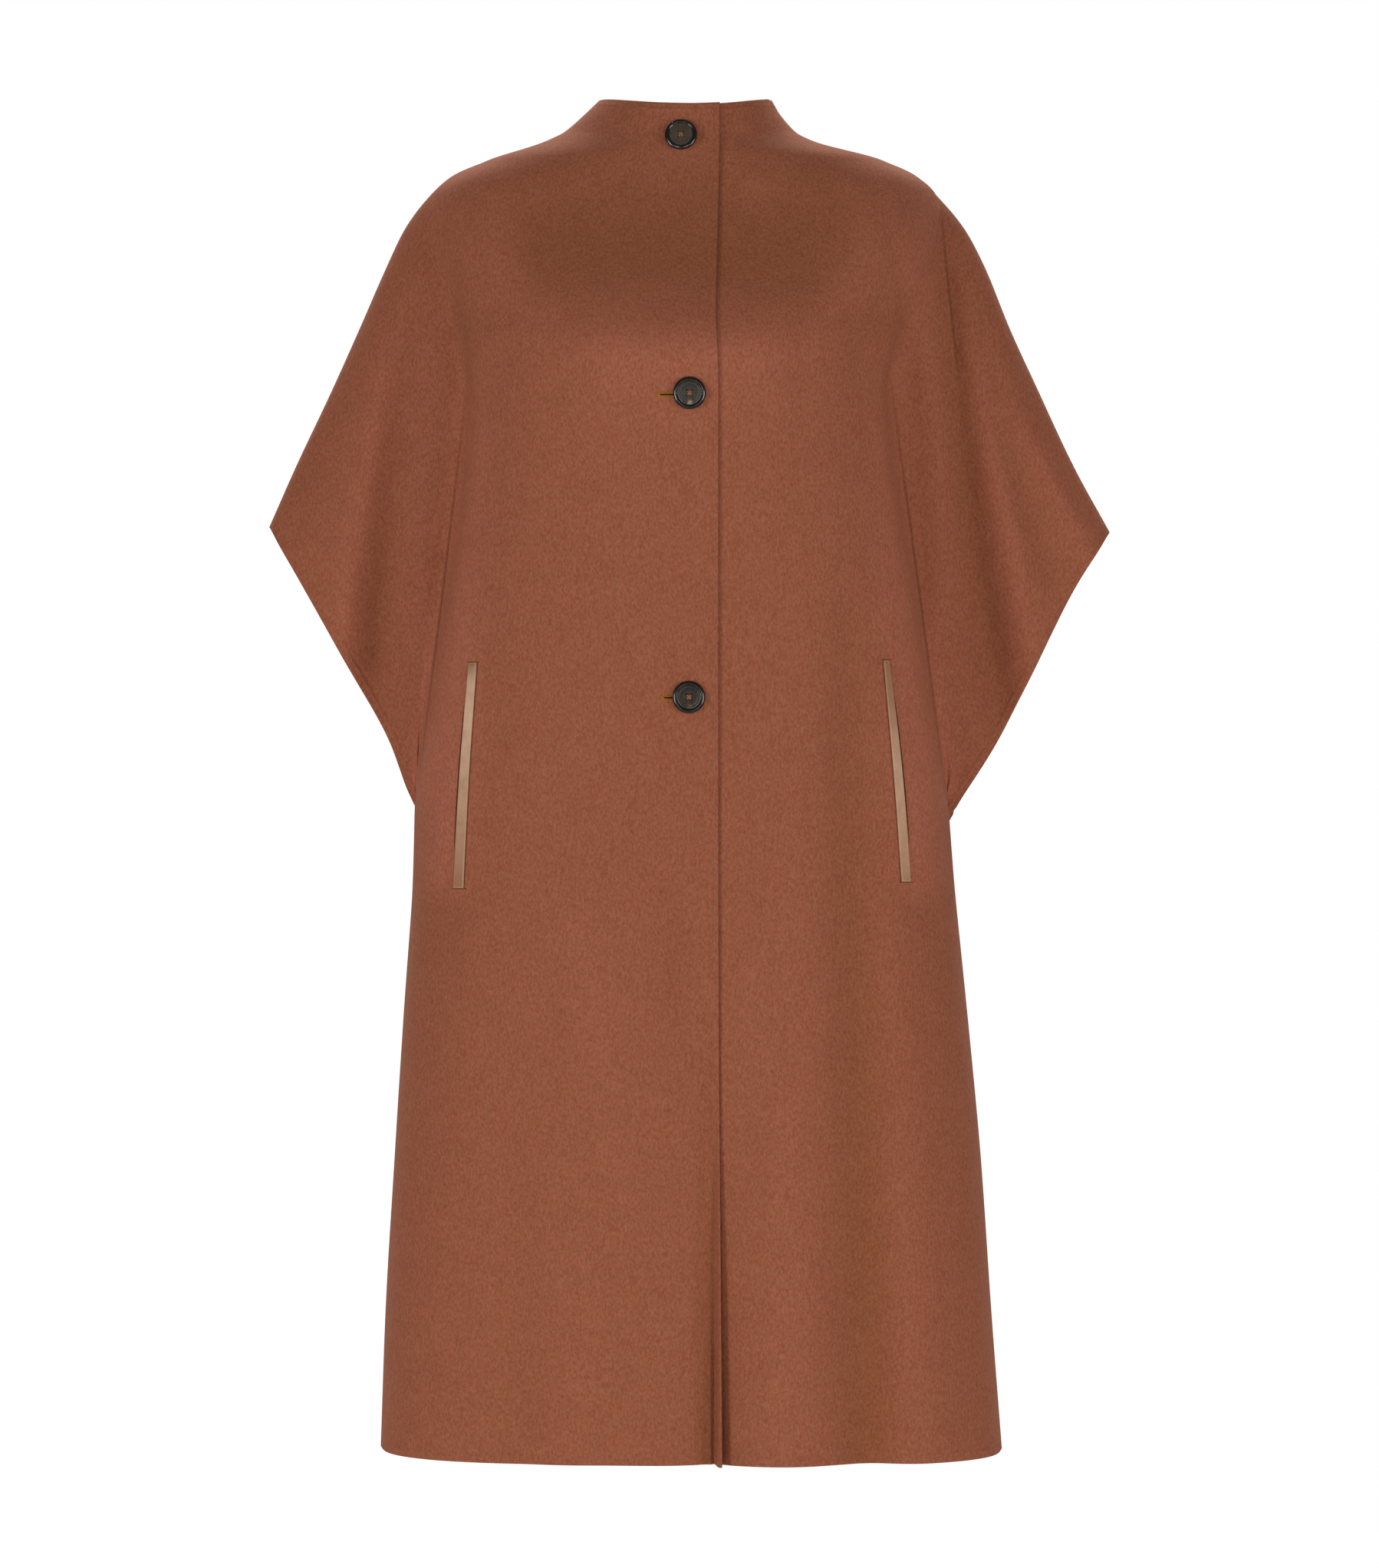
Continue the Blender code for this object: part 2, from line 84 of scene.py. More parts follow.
# Creases of the cloth, by what they lie on: each runs from its top to its foot, in x and z, and is
# bowed sideways in the middle. A ridge has a positive depth and a trough a negative one, and "wide"
# is the half width of the slope. One that runs across the cloth has its top at its right end.
# "crest" is how round it is: 2, where none is given, is a soft swell and 1 a pressed line.
Crease = namedtuple(
    "Crease",
    "on name top_x top_z foot_x foot_z bow "
    "top_depth middle_depth foot_depth top_wide foot_wide crest",
    defaults=(2,),
)
ON_FRONTS = [
    ("right armhole", -170, -158, -211, -500, 0, -0.9, -2.4, -0.6, 5, 5, 1.3),
    ("right flank swell", -152, -170, -197, -560, 0, 0.5, 6, 9, 13, 18),
    ("right armhole fill", -196, -340, -212, -515, 0, 1, 5, 4.5, 7, 8),
    ("right wing inner ridge", -205, -130, -211, -400, 0, 0.5, 1.8, 0.8, 9, 11),
    ("right shoulder trough", -192, -40, -174, -190, 0, -0.5, -2.6, -0.8, 10, 9),
    ("right wing ridge", -236, -120, -273, -380, 0, 0.8, 2.6, 1.6, 9, 12),
    ("right wing trough", -228, -190, -243, -400, 0, -0.5, -2.8, -2, 8, 11),
    ("right tip hollow", -284, -215, -310, -300, 0, -0.8, -2.4, -1, 10, 9),
    ("right cuff ripple", -262, -300, -268, -420, 0, 0.2, 1.2, 1, 6, 8),
    ("collar hollow", -138, -34, 128, -32, 0, -2.5, -4, -2.5, 34, 34),
    ("chest hollow", -140, -74, 122, -84, 0, -5, -7.2, -5, 38, 40),
    ("chest break", -84, -152, 74, -154, -5, 4, 6.5, 4, 40, 40, 1),
    ("right collar line", -168, -40, -104, -136, -6, 1, 3, 2, 22, 22),
    ("left collar line", 160, -30, 86, -136, 6, 1, 3, 2, 22, 22),
    ("right chest drag", -120, -120, -160, -200, -4, 0, -1, -0.8, 12, 10),
    ("middle dimple", -13, -545, -8, -720, 0, -0.8, -2.4, -0.8, 9, 11),
    ("hip swell", -84, -560, -62, -720, 0, 0.8, 2.2, 1, 18, 18),
    ("low hip swell", -60, -740, -52, -800, 0, 0.8, 1.8, 0.8, 14, 14),
    ("right side dimple", -186, -560, -194, -640, 0, -0.8, -2.2, -0.8, 13, 13),
    ("thigh swell", 42, -580, 44, -700, 0, 0.8, 2.2, 1, 13, 15),
    ("right skirt trough", -118, -640, -132, -1040, 4, -0.2, -1.4, -2.2, 16, 24),
    ("right skirt swell", -84, -720, -92, -1040, 2, 0.2, 1, 1.6, 16, 22),
    ("left skirt trough", 118, -340, 138, -1040, 2, -1.8, -6.4, -7.4, 14, 22),
    ("left skirt swell", 74, -420, 80, -1040, 3, 0.6, 2, 2.4, 18, 22),
    ("left skirt side ridge", 158, -620, 176, -1040, 2, 0.2, 1.2, 1.8, 12, 18),
    ("front edge valley", 14, -640, 14.5, -1040, 0, -0.5, -4.5, -7, 7, 9),
    ("left armhole", 153, -155, 199, -500, 1, -1.4, -3, -0.6, 5, 5, 1.3),
    ("left flank swell", 137, -165, 186, -560, 0, 0.5, 6.5, 9.5, 13, 18),
    ("left armhole fill", 184, -320, 202, -515, 0, 1, 5, 4.5, 8, 8),
    ("left armhole ridge", 168, -60, 196, -370, 9, 2, 3.6, 0.8, 9, 9),
    ("left shoulder trough", 196, -40, 238, -430, -5, -1.2, -5.4, -3.5, 7, 15),
    ("left sleeve pleat", 195, -28, 211, -180, -1, -1.4, -2.4, -0.6, 4, 5, 1.3),
    ("left wing ridge", 214, -130, 264, -400, 4, 0.8, 3.2, 1.6, 7, 12),
    ("left wing second trough", 236, -190, 290, -350, 0, -0.5, -3.2, -0.8, 7, 9),
    ("left shoulder swell", 178, -40, 178, -108, 0, 1.5, 3.5, 1.5, 15, 15),
    ("left tip ridge", 256, -190, 316, -310, 0, 0.6, 3.8, 4.2, 8, 11),
    ("left chest drag", 112, -112, 148, -196, 4, 0, -1, -0.8, 12, 10),
    ("neck hollow", 88, 20, 108, -30, 0, -0.3, -1.6, -0.3, 8, 12),
    ("collar swell", 30, -22, 70, -18, 0, 1, 2.2, 1, 14, 14),
]
ON_RIGHT_FRONT = [
    ("front edge roll", 22.6, -700, 23, -1040, 0, 0, 1.8, 3.6, 1.7, 2.1, 2.6),
    ("front edge groove", 18.8, -740, 19.2, -1040, 0, 0, -3.6, -7, 1.8, 2.2),
]
ON_LEFT_FRONT = [
    ("under the front edge", 25, -800, 26, -1040, 0, -0.2, -1.2, -2.2, 3.5, 4.5),
    ("beside the front edge", 27, -760, 28, -1040, 0, -0.2, -2.4, -3.6, 9, 15),
]
ON_BACK = [
    ("back left armhole", 176, -150, 206, -490, 4, -0.8, -2.2, -1.2, 8, 9, 1.3),
    ("back left shoulder ease", 203, -28, 208, -84, 0, -0.4, -2.8, -0.4, 8, 8),
    ("back left wing ridge", 200, -80, 272, -380, -4, 0.8, 2.2, 0.8, 9, 12),
    ("back left wing trough", 214, -210, 240, -430, 4, -0.4, -2, -1.4, 9, 11),
    ("back right armhole", -178, -150, -212, -490, -4, -0.8, -2.4, -1.2, 8, 9, 1.3),
    ("back right shoulder ease", -203, -28, -208, -84, 0, -0.4, -2.8, -0.4, 8, 8),
    ("back right wing ridge", -208, -90, -264, -390, 5, 0.8, 2, 0.8, 9, 12),
    ("back right wing trough", -226, -200, -246, -420, -3, -0.4, -1.8, -1.2, 9, 11),
    ("back blade swell left", 96, -90, 84, -260, 0, 0.3, 1.6, 0.3, 24, 26),
    ("back blade swell right", -92, -80, -80, -250, 0, 0.3, 1.5, 0.3, 22, 26),
    ("back middle trough", 2, -150, 10, -1040, 6, -0.4, -1.4, -2.4, 14, 22),
    ("back left flute", 62, -470, 78, -1040, 4, 0.3, 1.4, 2.4, 14, 20),
    ("back left hollow", 146, -520, 172, -1040, -4, -0.3, -1.6, -2.6, 14, 20),
    ("back right flute", -52, -520, -60, -1040, -3, 0.3, 1.2, 2, 12, 18),
    ("back right hollow", -142, -440, -168, -1040, 5, -0.3, -1.5, -2.4, 14, 22),
]
CREASE_ROWS = {
    "fronts": ON_FRONTS,
    "right_front": ON_RIGHT_FRONT,
    "left_front": ON_LEFT_FRONT,
    "back": ON_BACK,
}
CREASES = [Crease(on, *row) for on, rows in CREASE_ROWS.items() for row in rows]
ROLL_START = 18.8  # the rolled front edge lies between these, and begins and ends over the slope
ROLL_END = 26.4
ROLL_SLOPE = 2.4
ROLL_SAG = 2.6  # it hangs this far under the hem, and sinks over the length below the start
SAG_START = 988.0
SAG_LENGTH = 25.0
CREASE_FADE = 22.0  # length over which a crease begins and ends
PRESSED = 1.3  # the crest of the creases at the wings, nipped into a fine line that carries a painted dark shade line
HOLLOW_PAINTED_SHADE = (0.7, 0.7, 0.5)  # painted shade: what the wool's colour is multiplied by deep in a fold
CREST_PAINTED_LIGHT = (1.19, 1.19, 1.32)  # painted light: and on the highest crest
PAINTED_FLANK_STRIP = (-34.0, -8.0, -14.0, -5.0)  # how the strip of painted light beside the armhole line begins and, reversed, ends
CREST_TURN = 0.15  # even a pressed line turns over this share of its width
Swell = namedtuple("Swell", "width length height seed")
# Slow unevenness of hung cloth
SWELLS = [Swell(58.0, 190.0, 1.1, 3.7), Swell(26.0, 84.0, 0.35, 8.2)]

# Pocket welts, as in the solids: the x, z and width of each at its top, middle and foot
WELTS = {
    "right": [(-165.4, -391.5, 9.0), (-172.2, -480.0, 10.5), (-176.5, -563.8, 11.0)],
    "left": [(149.8, -389.8, 6.0), (159.0, -474.0, 9.5), (165.5, -558.8, 10.0)],
}
WELT_SHOWN = 0.86  # share of each welt's width that shows past its outer seam
# Painted light on each welt: how pale it is painted at shares of its length, from its top at 0
# to its foot at 1. Its dark top end is painted shade and its pale middle a painted highlight
WELT_PAINTED_LIGHT = {
    "right": [(0.0, 0.05), (0.07, 0.85), (0.25, 1.0), (0.6, 0.55), (1.0, 0.15)],
    "left": [(0.0, 0.0), (0.2, 0.15), (0.48, 0.75), (0.75, 0.6), (1.0, 0.3)],
}
BAR_RADIUS = 0.32  # of the thread that bars each end of a pocket mouth
BAR_OVER = 0.7  # how far it runs past the welt on either side
BAR_POINTS = 7
MOUTH_RADIUS = 0.8  # of the dark thread that paints the shadow of each pocket mouth
MOUTH_PAST = 0.48  # its middle lies this far past the welt and this far under the cloth's surface
MOUTH_DEPTH = 0.45
MOUTH_STEPS = 40
MOUTH_ENDS = 0.25  # share of its radius that it keeps at its ends

# Turned button: radius and height of points along half of its outline, from the middle of its back
BUTTON_PROFILE = {
    "back": [(0.0, 0.0), (10.6, 0.0), (11.6, 0.3), (12.2, 0.9)],
    "side": [(12.4, 1.6), (12.35, 2.1), (12.15, 2.65), (11.8, 3.05)],
    "crown": [(11.3, 3.36), (10.8, 3.6), (10.4, 3.72), (10.1, 3.62)],
    "groove": [(9.75, 3.25), (9.35, 2.75), (9.0, 2.6), (8.75, 2.72)],
    "dish": [(8.45, 2.84), (7.6, 2.82), (7.4, 2.76), (7.2, 2.8), (4.6, 2.7), (0.0, 2.66)],
}
BUTTON_STEPS = 72
BUTTON_FACE = 2.66  # height of the dish, where the thread lies
HOLE_RADIUS = 0.85
HOLE_PITCH = 1.75
HOLE_SIDES = 16
HOLE_DEPTH = 2.2  # how far down a thread is seen in its hole
DRILL_LENGTH = 12.0
SHARP_ANGLE = 50  # degrees, above which an edge of the horn stays sharp
THREAD_RADIUS = 0.34
THREAD_LIP = 0.86  # a thread comes over the lip of its hole at this share of the way to the hole
THREAD_BEND = 0.6  # and lies flat from this share

# Buttons: colours of the rim, the dish, its veins and its pale patch, how much of that patch shows,
# and how each is tilted, in degrees
ButtonLook = namedtuple("ButtonLook", "rim dish vein patch patch_share tilt_right tilt_up")
BUTTON_LOOKS = {
    "top": ButtonLook("#1A1511", "#42382E", "#52483C", "#8C7C66", 0.0, 0.0, 0.0),
    "middle": ButtonLook("#1C1611", "#302820", "#443C32", "#93836A", 0.9, 0.0, 0.0),
    "bottom": ButtonLook("#1B140B", "#1E1409", "#36290F", "#6B5A34", 0.4, 2.5, -3.0),
}

# Buttonholes: where the stitched slit begins and ends, its height, and how far its bar tack frays
Buttonhole = namedtuple("Buttonhole", "outer_x inner_x z frayed")
BUTTONHOLES = {
    "top": Buttonhole(-17.5, 5.6, 13.0, 0.0),
    "middle": Buttonhole(-24.0, 0.5, -189.6, 0.25),
    "bottom": Buttonhole(-21.0, 0.5, -418.9, 1.0),
}
SLIT_START = 1.6  # the slit's dark thread of painted shadow begins this far from the stitched end
SLIT_DEPTH = 0.1
SLIT_HALF = 0.5
SLIT_POINTS = 24
STITCH_START = 1.0
STITCH_PITCH = 0.62
STITCH_GAP = 0.35  # between the middle of the slit and a stitch
STITCH_LENGTH = 2.1
STITCH_RADIUS = 0.3
STITCH_ARCH = [(0.1, -0.25), (0.3, 0.2), (0.65, 0.22), (1.0, -0.25)]  # share of its length, height
STITCH_LEAN = 0.28  # hand work is never quite even: stitches lean by up to this
STITCH_UNEVEN = 0.14  # and their lengths differ by up to this share
TACK_THREADS = 5
TACK_START = 0.2
TACK_SPREAD = 1.3
TACK_FRAY = 1.6
TACK_HALF = 2.5
TACK_UNEVEN = 0.25
TACK_ARCH = [(-1.0, -0.25), (-0.6, 0.3), (0.0, 0.42), (0.6, 0.3), (1.0, -0.25)]

# Stage, in metres: the softboxes stand in pairs at either side of the garment and face it
Softbox = namedtuple("Softbox", "name aside y z width height")
SOFTBOXES = [
    Softbox("front", 1.1, -3.3, -0.9, 1.0, 1.2),
    Softbox("side", 2.5, -2.0, -0.4, 0.8, 1.6),
    Softbox("back", 2.0, 2.6, -0.4, 1.0, 1.8),
    Softbox("top", 0.7, 1.3, 1.7, 1.0, 0.8),
]
SOFTBOX_TARGET = (0.0, 0.0, 0.1)
ROOM_GLOSS = 0.1  # how bright the white room is in gloss
FLOOR_RADIUS = 2.0
FLOOR_SIDES = 96
FLOOR_SOLID = 0.5  # the floor fades out between these distances
FLOOR_GONE = 1.8
CAMERA_PLACE = (0.0, -4.2, -0.4842)
SENSOR_WIDTH = 36.0  # millimetres, as the lens is
LENS_LENGTH = 123.29


# Settings that several sliders or nodes share
POWER = {"unit": "POWER", "min": 0.0}
MIX = {"data_type": "RGBA"}
MULTIPLY = {"data_type": "RGBA", "blend_type": "MULTIPLY"}
SMOOTH = {"interpolation_type": "SMOOTHSTEP"}


def colour(name, about, default):
    return FloatVectorProperty(name=name, description=about, subtype="COLOR", default=default)


def amount(name, about, default, **limits):
    return FloatProperty(name=name, description=about, default=default, **limits)


class CapeCloth(bpy.types.PropertyGroup):
    """Colours and sizes of the wool."""

    wool_deep: colour("Deep wool", "Fibres that lie away from the light", (0.254, 0.072, 0.033))
    wool_pale: colour("Pale wool", "Fibres that lie towards the light", (0.348, 0.121, 0.069))
    fleck: amount("Fleck", "Size of the nap's flecks in mm", 1.7, min=0.5, max=5.0)
    crease_share: amount("Creases", "Share of their depth", 1.0, subtype="FACTOR", max=2.0)
    stitch_line: amount("Stitch line", "Distance from the edge in mm", 5.5, min=2.0)


class CapeTrim(bpy.types.PropertyGroup):
    """Colours of the leather and the threads."""

    leather: colour("Leather", "Colour of the pocket welts", (0.25, 0.092, 0.022))
    # Painted highlight: the pale colour that the welts' painted light runs towards
    worn_leather: colour("Leather highlight", "The welts where hands rub them", (0.53, 0.32, 0.195))
    welt_thread: colour("Welt thread", "Bars at the pocket ends", (0.1, 0.045, 0.018))
    buttonhole_thread: colour("Buttonhole thread", "Buttonholes", (0.36, 0.135, 0.02))
    button_thread: colour("Button thread", "Thread in the buttons", (0.3, 0.13, 0.06))


class CapeStage(bpy.types.PropertyGroup):
    """Lights and floor."""

    front_light: amount("Front lights", "Each tall softbox in front", 19.0, **POWER)
    side_light: amount("Side lights", "Each tall softbox beside", 39.0, **POWER)
    back_light: amount("Back lights", "Each softbox behind", 12.0, **POWER)
    top_light: amount("Top lights", "Each softbox above the back", 42.0, **POWER)
    room_light: amount("Room light", "Brightness of the white room", 0.1, min=0.0)
    key_share: amount("Key", "Extra light from the wearer's right", 0.05, max=0.5)
    floor_height: amount("Floor", "Its height", -1.42, subtype="DISTANCE", unit="LENGTH")


def opaque(colours):
    return (*colours, 1.0)


def linear(hex_colour):
    """An sRGB hex colour as linear red, green and blue, with full cover."""
    parts = [int(hex_colour[i : i + 2], 16) / 255 for i in (1, 3, 5)]
    return opaque(c / 12.92 if c <= 0.04045 else ((c + 0.055) / 1.055) ** 2.4 for c in parts)


def smoothstep(value, start, end):
    share = np.clip((value - start) / (end - start), 0.0, 1.0)
    return share * share * (3.0 - 2.0 * share)


def through_three(first, middle, last, share):
    """A smooth run of values through three evenly spaced ones."""
    return (
        first * (1 - share) * (1 - 2 * share)
        + middle * 4 * share * (1 - share)
        + last * share * (2 * share - 1)
    )


def read_points(mesh):
    points = np.empty(len(mesh.vertices) * 3)
    mesh.vertices.foreach_get("co", points)
    return points.reshape(-1, 3)


def write_points(mesh, points):
    mesh.vertices.foreach_set("co", points.ravel())
    mesh.update()


def write_attribute(mesh, name, values):
    layer = mesh.attributes.new(name, "FLOAT", "POINT")
    layer.data.foreach_set("value", np.asarray(values, np.float32))


def new_object(name, data):
    item = bpy.data.objects.new(name, data)
    bpy.context.scene.collection.objects.link(item)
    return item


def new_mesh(name, shape):
    """A mesh from a bmesh, which is freed."""
    mesh = bpy.data.meshes.new(name)
    shape.to_mesh(mesh)
    shape.free()
    return mesh


def show(name, mesh, material):
    """Links a finished mesh as a piece that goes with the garment."""
    mesh.name = name
    mesh.materials.clear()
    mesh.materials.append(material)
    piece = new_object(name, mesh)
    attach(piece, "root")
    return piece


def baked(carrier):
    """An object's mesh with its modifiers or bevel applied. The object is removed."""
    depsgraph = bpy.context.evaluated_depsgraph_get()
    mesh = bpy.data.meshes.new_from_object(carrier.evaluated_get(depsgraph))
    bpy.data.objects.remove(carrier)
    return mesh


# Cloth


def merged_cells(node):
    """A copy of a solid with its loose triangles merged and joined back into four-sided cells."""
    shape = bmesh.new()
    shape.from_mesh(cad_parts[node].data)
    bmesh.ops.remove_doubles(shape, verts=shape.verts, dist=MERGE_REACH * MM)
    angles = {"angle_face_threshold": pi, "angle_shape_threshold": pi}
    bmesh.ops.join_triangles(shape, faces=shape.faces[:], topology_influence=2.0, **angles)
    return shape


def mark_edge_band(shape, thick):
    """Marks the faces that close a wall round its edge, and holds the corners of that band."""
    band = shape.faces.layers.int.new("edge_band")
    held = shape.edges.layers.float.new("crease_edge")
    through = {edge for edge in shape.edges if abs(edge.calc_length() / MM - thick) < THICK_SLACK}
    for face in shape.faces:
        crossings = sum(edge in through for edge in face.edges)
        face[band] = int(crossings >= len(face.edges) - 2)
    for edge in shape.edges:
        border = sum(face[band] for face in edge.link_faces) == 1
        corner = edge in through and edge.calc_face_angle(0.0) > radians(CORNER_ANGLE)
        edge[held] = float(border or corner)


def refined(node, thick):
    """A solid's wall refined into small cells that run smoothly through the solid's own corners."""
    shape = merged_cells(node)
    mark_edge_band(shape, thick)
    cage = new_mesh(node + "_cage", shape)
    carrier = new_object(cage.name, cage)
    refine = carrier.modifiers.new("refine", "SUBSURF")
    refine.levels = refine.render_levels = REFINE_LEVELS
    goal = read_points(cage)
    for _ in range(DRAW_ROUNDS):
        depsgraph = bpy.context.evaluated_depsgraph_get()
        reached = read_points(carrier.evaluated_get(depsgraph).to_mesh())[: len(goal)]
        write_points(cage, read_points(cage) + goal - reached)
    mesh = baked(carrier)
    if node in FINE_STRIPS:
        cut_fine_strip(mesh, FINE_STRIPS[node])
    return mesh


def cut_fine_strip(mesh, strip):
    """Cuts the columns of cells between two widths into narrower ones, from the neck to the hem."""
    shape = bmesh.new()
    shape.from_mesh(mesh)
    middle = (strip.left_x + strip.right_x) / 2 * MM
    half = (strip.right_x - strip.left_x) / 2 * MM
    across = [
        edge
        for edge in shape.edges
        if all(abs(end.co.x - middle) < half and end.co.y < 0.0 for end in edge.verts)
        and abs(edge.verts[0].co.x - edge.verts[1].co.x) > ACROSS_SHARE * edge.calc_length()
    ]
    bmesh.ops.subdivide_edges(shape, edges=across, cuts=strip.cuts)
    shape.to_mesh(mesh)
    shape.free()


def band_faces(mesh):
    """The corners of each face in the edge band, with whether that face lies at a seam."""
    marks = mesh.attributes["edge_band"].data
    points = read_points(mesh)
    faces = [list(face.vertices) for face, mark in zip(mesh.polygons, marks) if mark.value]
    return [(face, bool(np.abs(points[face, 1]).max() < SEAM_PLANE * MM)) for face in faces]


def round_edges(mesh, inset):
    """Draws the corners of the edge band in, so that the wall ends in a soft edge.

    At a seam the two walls are first drawn together, as the sewing does, and drawn in less.
    """
    points = read_points(mesh)
    band = band_faces(mesh)
    for corners, at_seam in band:
        if at_seam:
            points[corners, 1] = 0.0
    outward = np.zeros_like(points)
    seamed = np.zeros(len(points), bool)
    in_band = np.zeros(len(points), bool)
    for corners, at_seam in band:
        around = points[corners]
        outward[corners] += np.cross(around[2] - around[0], around[3] - around[1])
        in_band[corners] = True
        seamed[corners] |= at_seam
    on_wall = np.zeros(len(points), bool)
    marks = mesh.attributes["edge_band"].data
    for face, mark in zip(mesh.polygons, marks):
        if not mark.value:
            on_wall[list(face.vertices)] = True
    corners = np.flatnonzero(in_band & on_wall)
    lengths = np.linalg.norm(outward[corners], axis=1, keepdims=True)
    share = np.where(seamed[corners], SEAM_INSET, 1.0)[:, None]
    points[corners] -= outward[corners] / np.maximum(lengths, 1e-12) * share * inset * MM
    write_points(mesh, points)


def note_edge_distance(mesh):
    """Writes how far each point is from the free edge, in millimetres."""
    points = [Vector(point) for point in read_points(mesh)]
    free = [corners for corners, at_seam in band_faces(mesh) if not at_seam]
    edge = BVHTree.FromPolygons(points, free)
    reach = EDGE_REACH * MM
    found = [edge.find_nearest(point, reach)[3] for point in points]
    gaps = [EDGE_REACH if gap is None else gap / MM for gap in found]
    write_attribute(mesh, "edge_distance", gaps)


def along_crease(crease, x, z):
    """How far points are along a crease, as a share, how far aside, and how much is left of it."""
    run = np.array([crease.foot_x - crease.top_x, crease.foot_z - crease.top_z])
    length = np.hypot(*run)
    over, down = run / length
    gone = (x - crease.top_x) * over + (z - crease.top_z) * down
    aside = (z - crease.top_z) * over - (x - crease.top_x) * down
    share = np.clip(gone / length, 0.0, 1.0)
    aside = aside - crease.bow * np.sin(pi * share)
    begun, ending = (smoothstep(past, -CREASE_FADE, CREASE_FADE) for past in (gone, length - gone))
    return share, aside, begun * ending


def note_armhole_line(mesh, node):
    """Writes how far each point is past the nearest pressed line of a wing, in millimetres.

    Shares of that line, painted as a dark shade line, and of the strip beside it, painted paler,
    are also written.
    """
    x, _, z = (read_points(mesh) / MM).T
    past = np.full(len(x), -EDGE_REACH)
    line = np.zeros(len(x))
    painted_light = np.zeros(len(x))
    for crease in CREASES:
        if crease.crest != PRESSED or crease.on != ("back" if node == "back" else "fronts"):
            continue
        outer = np.sign(crease.top_x)
        share, aside, left = along_crease(crease, x, z)
        beyond = aside * outer
        nearer = (x * outer > 0) & (left > 0) & (np.abs(beyond) < np.abs(past))
        past[nearer] = beyond[nearer]
        line[nearer] = (left * np.sin(pi * share))[nearer]
        if "armhole" in crease.name:
            # Painted light: the strip of body beside an armhole line, which is painted paler
            strip = smoothstep(beyond, *PAINTED_FLANK_STRIP[:2]) * smoothstep(-beyond, *PAINTED_FLANK_STRIP[2:])
            painted_light = np.where(x * outer > 0, left * strip, painted_light)
    write_attribute(mesh, "past_armhole", past)
    write_attribute(mesh, "armhole_line", line)
    write_attribute(mesh, "painted_flank_light", painted_light)


def crease_lift(node, x, z):
    """How far the creases lift a piece of cloth at x and z, all in millimetres."""
    groups = {node, "back" if node == "back" else "fronts"}
    lift = np.zeros_like(x)
    for crease in CREASES:
        if crease.on not in groups:
            continue
        share, aside, left = along_crease(crease, x, z)
        wide = crease.top_wide + (crease.foot_wide - crease.top_wide) * share
        depth = through_three(crease.top_depth, crease.middle_depth, crease.foot_depth, share)
        slope = ((aside / wide) ** 2 + CREST_TURN**2) ** (crease.crest / 2)
        slope -= CREST_TURN**crease.crest
        lift += depth * left * np.exp(-slope)
    return lift * bpy.context.scene.cape_cloth.crease_share


def swell_lift(node, x, z):
    """Slow unevenness, the same each time."""
    side = 5.0 if node == "back" else 0.0
    lift = np.zeros(len(x))
    for swell in SWELLS:
        for i, place in enumerate(zip(x / swell.width, z / swell.length)):
            along = Vector((place[0], side + swell.seed, place[1]))
            lift[i] += swell.height * noise.noise(along)
    return lift


def drape(mesh, node):
    """Lays the creases on a piece, out of the front or back. They die out at the seams."""
    points = read_points(mesh)
    x, y, z = (points / MM).T
    creases = crease_lift(node, x, z)
    # The creases' height, which the wool also reads for its painted light on crests and painted
    # shade in hollows
    write_attribute(mesh, "fold", creases)
    lift = creases + swell_lift(node, x, z)
    facing = 1.0 if node == "back" else -1.0
    points[:, 1] += facing * lift * smoothstep(np.abs(y), 0.0, SEAM_TAPER) * MM
    if node == "right_front":
        rolled = smoothstep(x, ROLL_START, ROLL_START + ROLL_SLOPE)
        rolled *= smoothstep(-x, -ROLL_END, ROLL_SLOPE - ROLL_END)
        sagged = rolled * smoothstep(-z, SAG_START, SAG_START + SAG_LENGTH)
        points[:, 2] -= ROLL_SAG * sagged * MM
    write_points(mesh, points)


def set_inputs(node, inputs):
    """Links each input that is given as another node's output, and sets the others."""
    for name, value in inputs.items():
        if isinstance(value, bpy.types.NodeSocket):
            node.id_data.links.new(value, node.inputs[name])
        else:
            node.inputs[name].default_value = value


def add_node(tree, kind, output, inputs=None, **settings):
    """Adds one shader node with its settings and links, and gives one of its outputs.

    A Mix node takes its share at input 0 and its colours at 6 and 7, and gives output 2.
    """
    node = tree.nodes.new("ShaderNode" + kind)
    for name, value in settings.items():
        setattr(node, name, value)
    set_inputs(node, inputs or {})
    return node.outputs[output]


def every(size):
    """The scale of a pattern that repeats about every so many millimetres."""
    return 1.0 / (size * MM)


def new_material(name):
    """A material, its shader, what adds its nodes, and the object coordinates they read."""
    material = bpy.data.materials.new(name)
    material.use_nodes = True
    add = partial(add_node, material.node_tree)
    return material, material.node_tree.nodes["Principled BSDF"], add, add("TexCoord", "Object")


